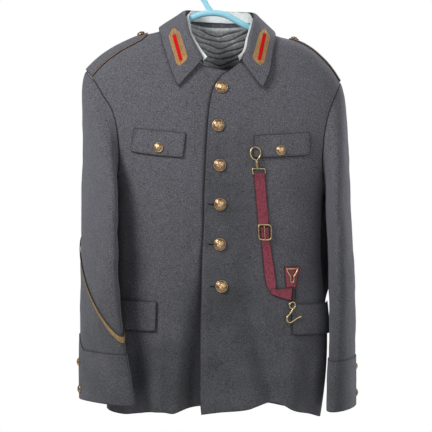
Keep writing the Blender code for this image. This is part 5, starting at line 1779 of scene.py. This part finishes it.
def hanger():
    """Arms under the shoulders and a hook, moulded in one."""
    route = []
    for x, z in ARM_TOP:
        if z is None:
            z = read_table(SHOULDER_LINE, "x", x, "z") - CLOTH - HANGER_DROP
        route.append((x, 0, float(z) - ARM_TALL / 2))
    path = curve(route)(np.linspace(0, 1, 220))
    arms = tube("hanger", path, ARM_TALL / 2, False, PLASTIC, 24, ARM_DEEP / 2)
    bend = HOOK_INSIDE + HOOK_BAR / 2
    arc = []
    for degrees in np.linspace(226, -38, 16):
        a = math.radians(degrees)
        arc.append((bend * math.cos(a), 0, -HOOK_INSIDE + bend * math.sin(a)))
    stem = [(-1, 0, -62), (-5, 0, -54), (-10, 0, -46)]
    path = curve(stem + arc)(np.linspace(0, 1, 150))
    hook = tube("hanger_hook", path, HOOK_BAR / 2, False, PLASTIC, 24, ARM_DEEP / 2 - 0.4)
    body = bmesh.new()
    body.from_mesh(arms.data)
    body.from_mesh(hook.data)
    body.to_mesh(arms.data)
    body.free()
    bpy.data.objects.remove(hook, do_unlink=True)
    joined = arms.modifiers.new("moulded", "REMESH")
    joined.mode = "VOXEL"
    joined.voxel_size = 1.1 * MM
    joined.use_smooth_shade = True
    soft = arms.modifiers.new("soft", "SMOOTH")
    soft.factor = 0.5
    soft.iterations = 14
    bpy.context.view_layer.update()
    plain = bpy.data.meshes.new_from_object(arms.evaluated_get(bpy.context.evaluated_depsgraph_get()))
    arms.modifiers.clear()
    arms.data = plain
    return arms


def cuff_buttons():
    """Two small buttons on each cuff, at the back of its outer side."""
    turn = np.arange(48) * math.pi / 24
    for hand, cuts, way in (("right", RIGHT_SLEEVE, 1), ("left", LEFT_SLEEVE, -1)):
        for number, z in enumerate(CUFF_BUTTON_LEVELS[hand], 1):
            ring = sleeve_ring(cuts, z, way, CUFF_OUT + 0.5, turn)
            before, place, after = ring[40:43]
            normal = np.cross(after - before, [0, 0, 1.0])
            if normal @ (place - ring.mean(axis=0)) < 0:
                normal = -normal
            sew_on(f"cuff_button_{hand}_{number}", place, unit(normal), CUFF_BUTTON)


def assemble():
    """Makes every piece and gives it its node and cut."""
    right, left, back = panels()
    right_away = facing(right, False, TO_FRONT)
    left_away = facing(left, False, TO_FRONT)
    back_away = facing(back, False, TO_BACK)
    # The right front carries a painted shadow beside the left front's edge
    for name, grid, way, shade in (
        ("front_right", right, TO_FRONT, overlap_painted_shadow),
        ("front_left", left, TO_FRONT, None),
        ("back", back, TO_BACK, None),
    ):
        cloth(shell(name, grid, way, CLOTH, WOOL, shade=shade), grid, name)
    cloth(*lining(back), "back_lining", "lining")

    right_ring = armhole_ring(right, right_away, back[:, ::-1], back_away[:, ::-1])
    left_ring = armhole_ring(left, left_away, back, back_away)
    for name, cuts, hand, ring, creases in (
        ("sleeve_right", RIGHT_SLEEVE, 1, right_ring, RIGHT_SLEEVE_CREASES),
        ("sleeve_left", LEFT_SLEEVE, -1, left_ring, LEFT_SLEEVE_CREASES),
    ):
        grid = sleeve_grid(cuts, hand, *ring, creases)
        cloth(sleeve(name, grid, ring[1]), grid, name, closed=True)
    for name, cuts, hand, top, scroll in (
        ("cuff_right", RIGHT_SLEEVE, 1, RIGHT_CUFF_TOP, RIGHT_CUFF_SCROLL),
        ("cuff_left", LEFT_SLEEVE, -1, LEFT_CUFF_TOP, 0),
    ):
        piece, grid = cuff(name, cuts, hand, top, scroll)
        cloth(piece, grid, name, closed=True)

    body = Surface(left, right, back)
    stand, liner, fall = collar(neckline(right, left, back), body)
    cloth(*fall, "collar_fall")
    cloth(*stand, "collar_stand")
    cloth(*liner, "collar_liner", "white_liner")
    collar_patches(Surface(fall[1]))

    lines = [inset_line(left, 6.5, STITCH_LIFT)]
    for number, spot in enumerate(FRONT_BUTTONS, 1):
        sew_on(f"front_button_{number}", *body.from_front(*spot, 0.4), FRONT_BUTTON)
    holes = []
    for number in BUTTONHOLES:
        holes += buttonhole(body, FRONT_BUTTONS[number])
    for hand, corners in CHEST_FLAPS.items():
        name = f"chest_flap_{hand}"
        piece, grid = chest_flap(name, body, corners)
        cloth(piece, grid, name)
        lines.append(border(grid, facing(grid, False, TO_FRONT)))
        spot = Surface(grid).from_front(*CHEST_BUTTONS[hand], 0.4)
        sew_on(f"chest_button_{hand}", *spot, CHEST_BUTTON)
    for hand, numbers in HIP_FLAPS.items():
        name = f"hip_flap_{hand}"
        piece, grid = hip_flap(name, *numbers, body)
        cloth(piece, grid, name)
        lines.append(border(grid, facing(grid, False, grid - HIP_MIDDLE)))
    stitched("seam_stitches", lines, THREAD)
    # The buttonhole stitches also carry the slits' painted shade
    stitched("buttonhole_stitches", holes, BUTTONHOLE_SHADE_THREAD, 0.0007, 0.0010, 0.0006)

    straps = {"right": (right_ring[0], -124, 6, -40, -137), "left": (left_ring[0], 150, 28, -16, 161)}
    for hand, (seam, neck_x, rear_y, front_y, button_x) in straps.items():
        name = f"shoulder_strap_{hand}"
        piece, grid, away = shoulder_strap(name, body, seam, neck_x, rear_y, front_y)
        cloth(piece, grid, name)
        spot = Surface(grid).from_above(button_x, (rear_y + front_y) / 2, 0.7)
        sew_on(f"strap_button_{hand}", *spot, STRAP_BUTTON)
        sunk = grid - away * 0.6
        line = np.concatenate([sunk[0], sunk[1:-1, -1], sunk[-1][::-1]])
        values = {"Step": 0.0008, "Strand": 0.00046, "Twist": 1500.0}
        keep(grow_on_lines(f"strap_piping_{hand}", TWISTED, [line], PIPING, **values), "")

    cuff_buttons()
    sword_strap(Surface(left))
    keep(sleeve_band(), "sleeve_band")
    keep(hanger(), "hanger")


def camera_and_light():
    """The photograph's camera, three soft lamps and a pale studio."""
    scene = bpy.context.scene
    data = bpy.data.cameras.new("camera")
    data.sensor_width = SENSOR
    data.lens = SENSOR / (PHOTO_WIDE * FRONT_PIXEL / FRONT_DISTANCE)
    camera = bpy.data.objects.new("camera", data)
    camera.location = (0.0076, -2.46, -0.456)
    camera.rotation_euler = (math.pi / 2, 0, 0)
    scene.collection.objects.link(camera)
    scene.camera = camera
    scene.view_settings.view_transform = "Standard"
    lit_place = Vector((0.01, 0, -0.38))
    lamps = (
        ("key", (-1.55, -1.35, 1.0), 0.8, 50),
        ("fill", (1.5, -2.3, 0.4), 1.8, 20),
        ("back", (1.9, 1.7, 0.9), 1.0, 44),
    )
    for name, place, size, power in lamps:
        lamp = bpy.data.lights.new(name, "AREA")
        lamp.size = size
        lamp.energy = power
        thing = bpy.data.objects.new(name, lamp)
        thing.location = place
        thing.rotation_mode = "QUATERNION"
        thing.rotation_quaternion = (lit_place - Vector(place)).to_track_quat("-Z", "Y")
        scene.collection.objects.link(thing)
    world = bpy.data.worlds.new("studio")
    world.use_nodes = True
    tree = world.node_tree
    sky = tree.nodes["Background"]
    seen = add_node(tree, "ShaderNodeBackground", Color=(1, 1, 1, 1), Strength=1.0)
    sky.inputs["Color"].default_value = (0.93, 0.95, 1.0, 1)
    sky.inputs["Strength"].default_value = 0.27
    rays = tree.nodes.new("ShaderNodeLightPath")
    links = [(0, rays.outputs["Is Camera Ray"]), (1, sky.outputs[0]), (2, seen.outputs[0])]
    mixed = add_node(tree, "ShaderNodeMixShader", links)
    tree.links.new(mixed.outputs[0], tree.nodes["World Output"].inputs[0])
    scene.world = world


def floor():
    """A plain round floor below the hanging jacket."""
    sides = 96
    turn = np.arange(sides) * math.pi / (sides / 2)
    x, y = 8 + FLOOR_REACH * np.cos(turn), FLOOR_REACH * np.sin(turn)
    ring = np.stack([x, y, np.full(sides, FLOOR_Z)], axis=-1)
    low = ring - np.array([0, 0, FLOOR_THICK])
    faces = [list(range(sides)), list(range(2 * sides - 1, sides - 1, -1))]
    faces += [[k, k + sides, (k + 1) % sides + sides, (k + 1) % sides] for k in range(sides)]
    add_object("floor", np.concatenate([ring, low]), faces, PALE, sharp=30)


assemble()
camera_and_light()
floor()
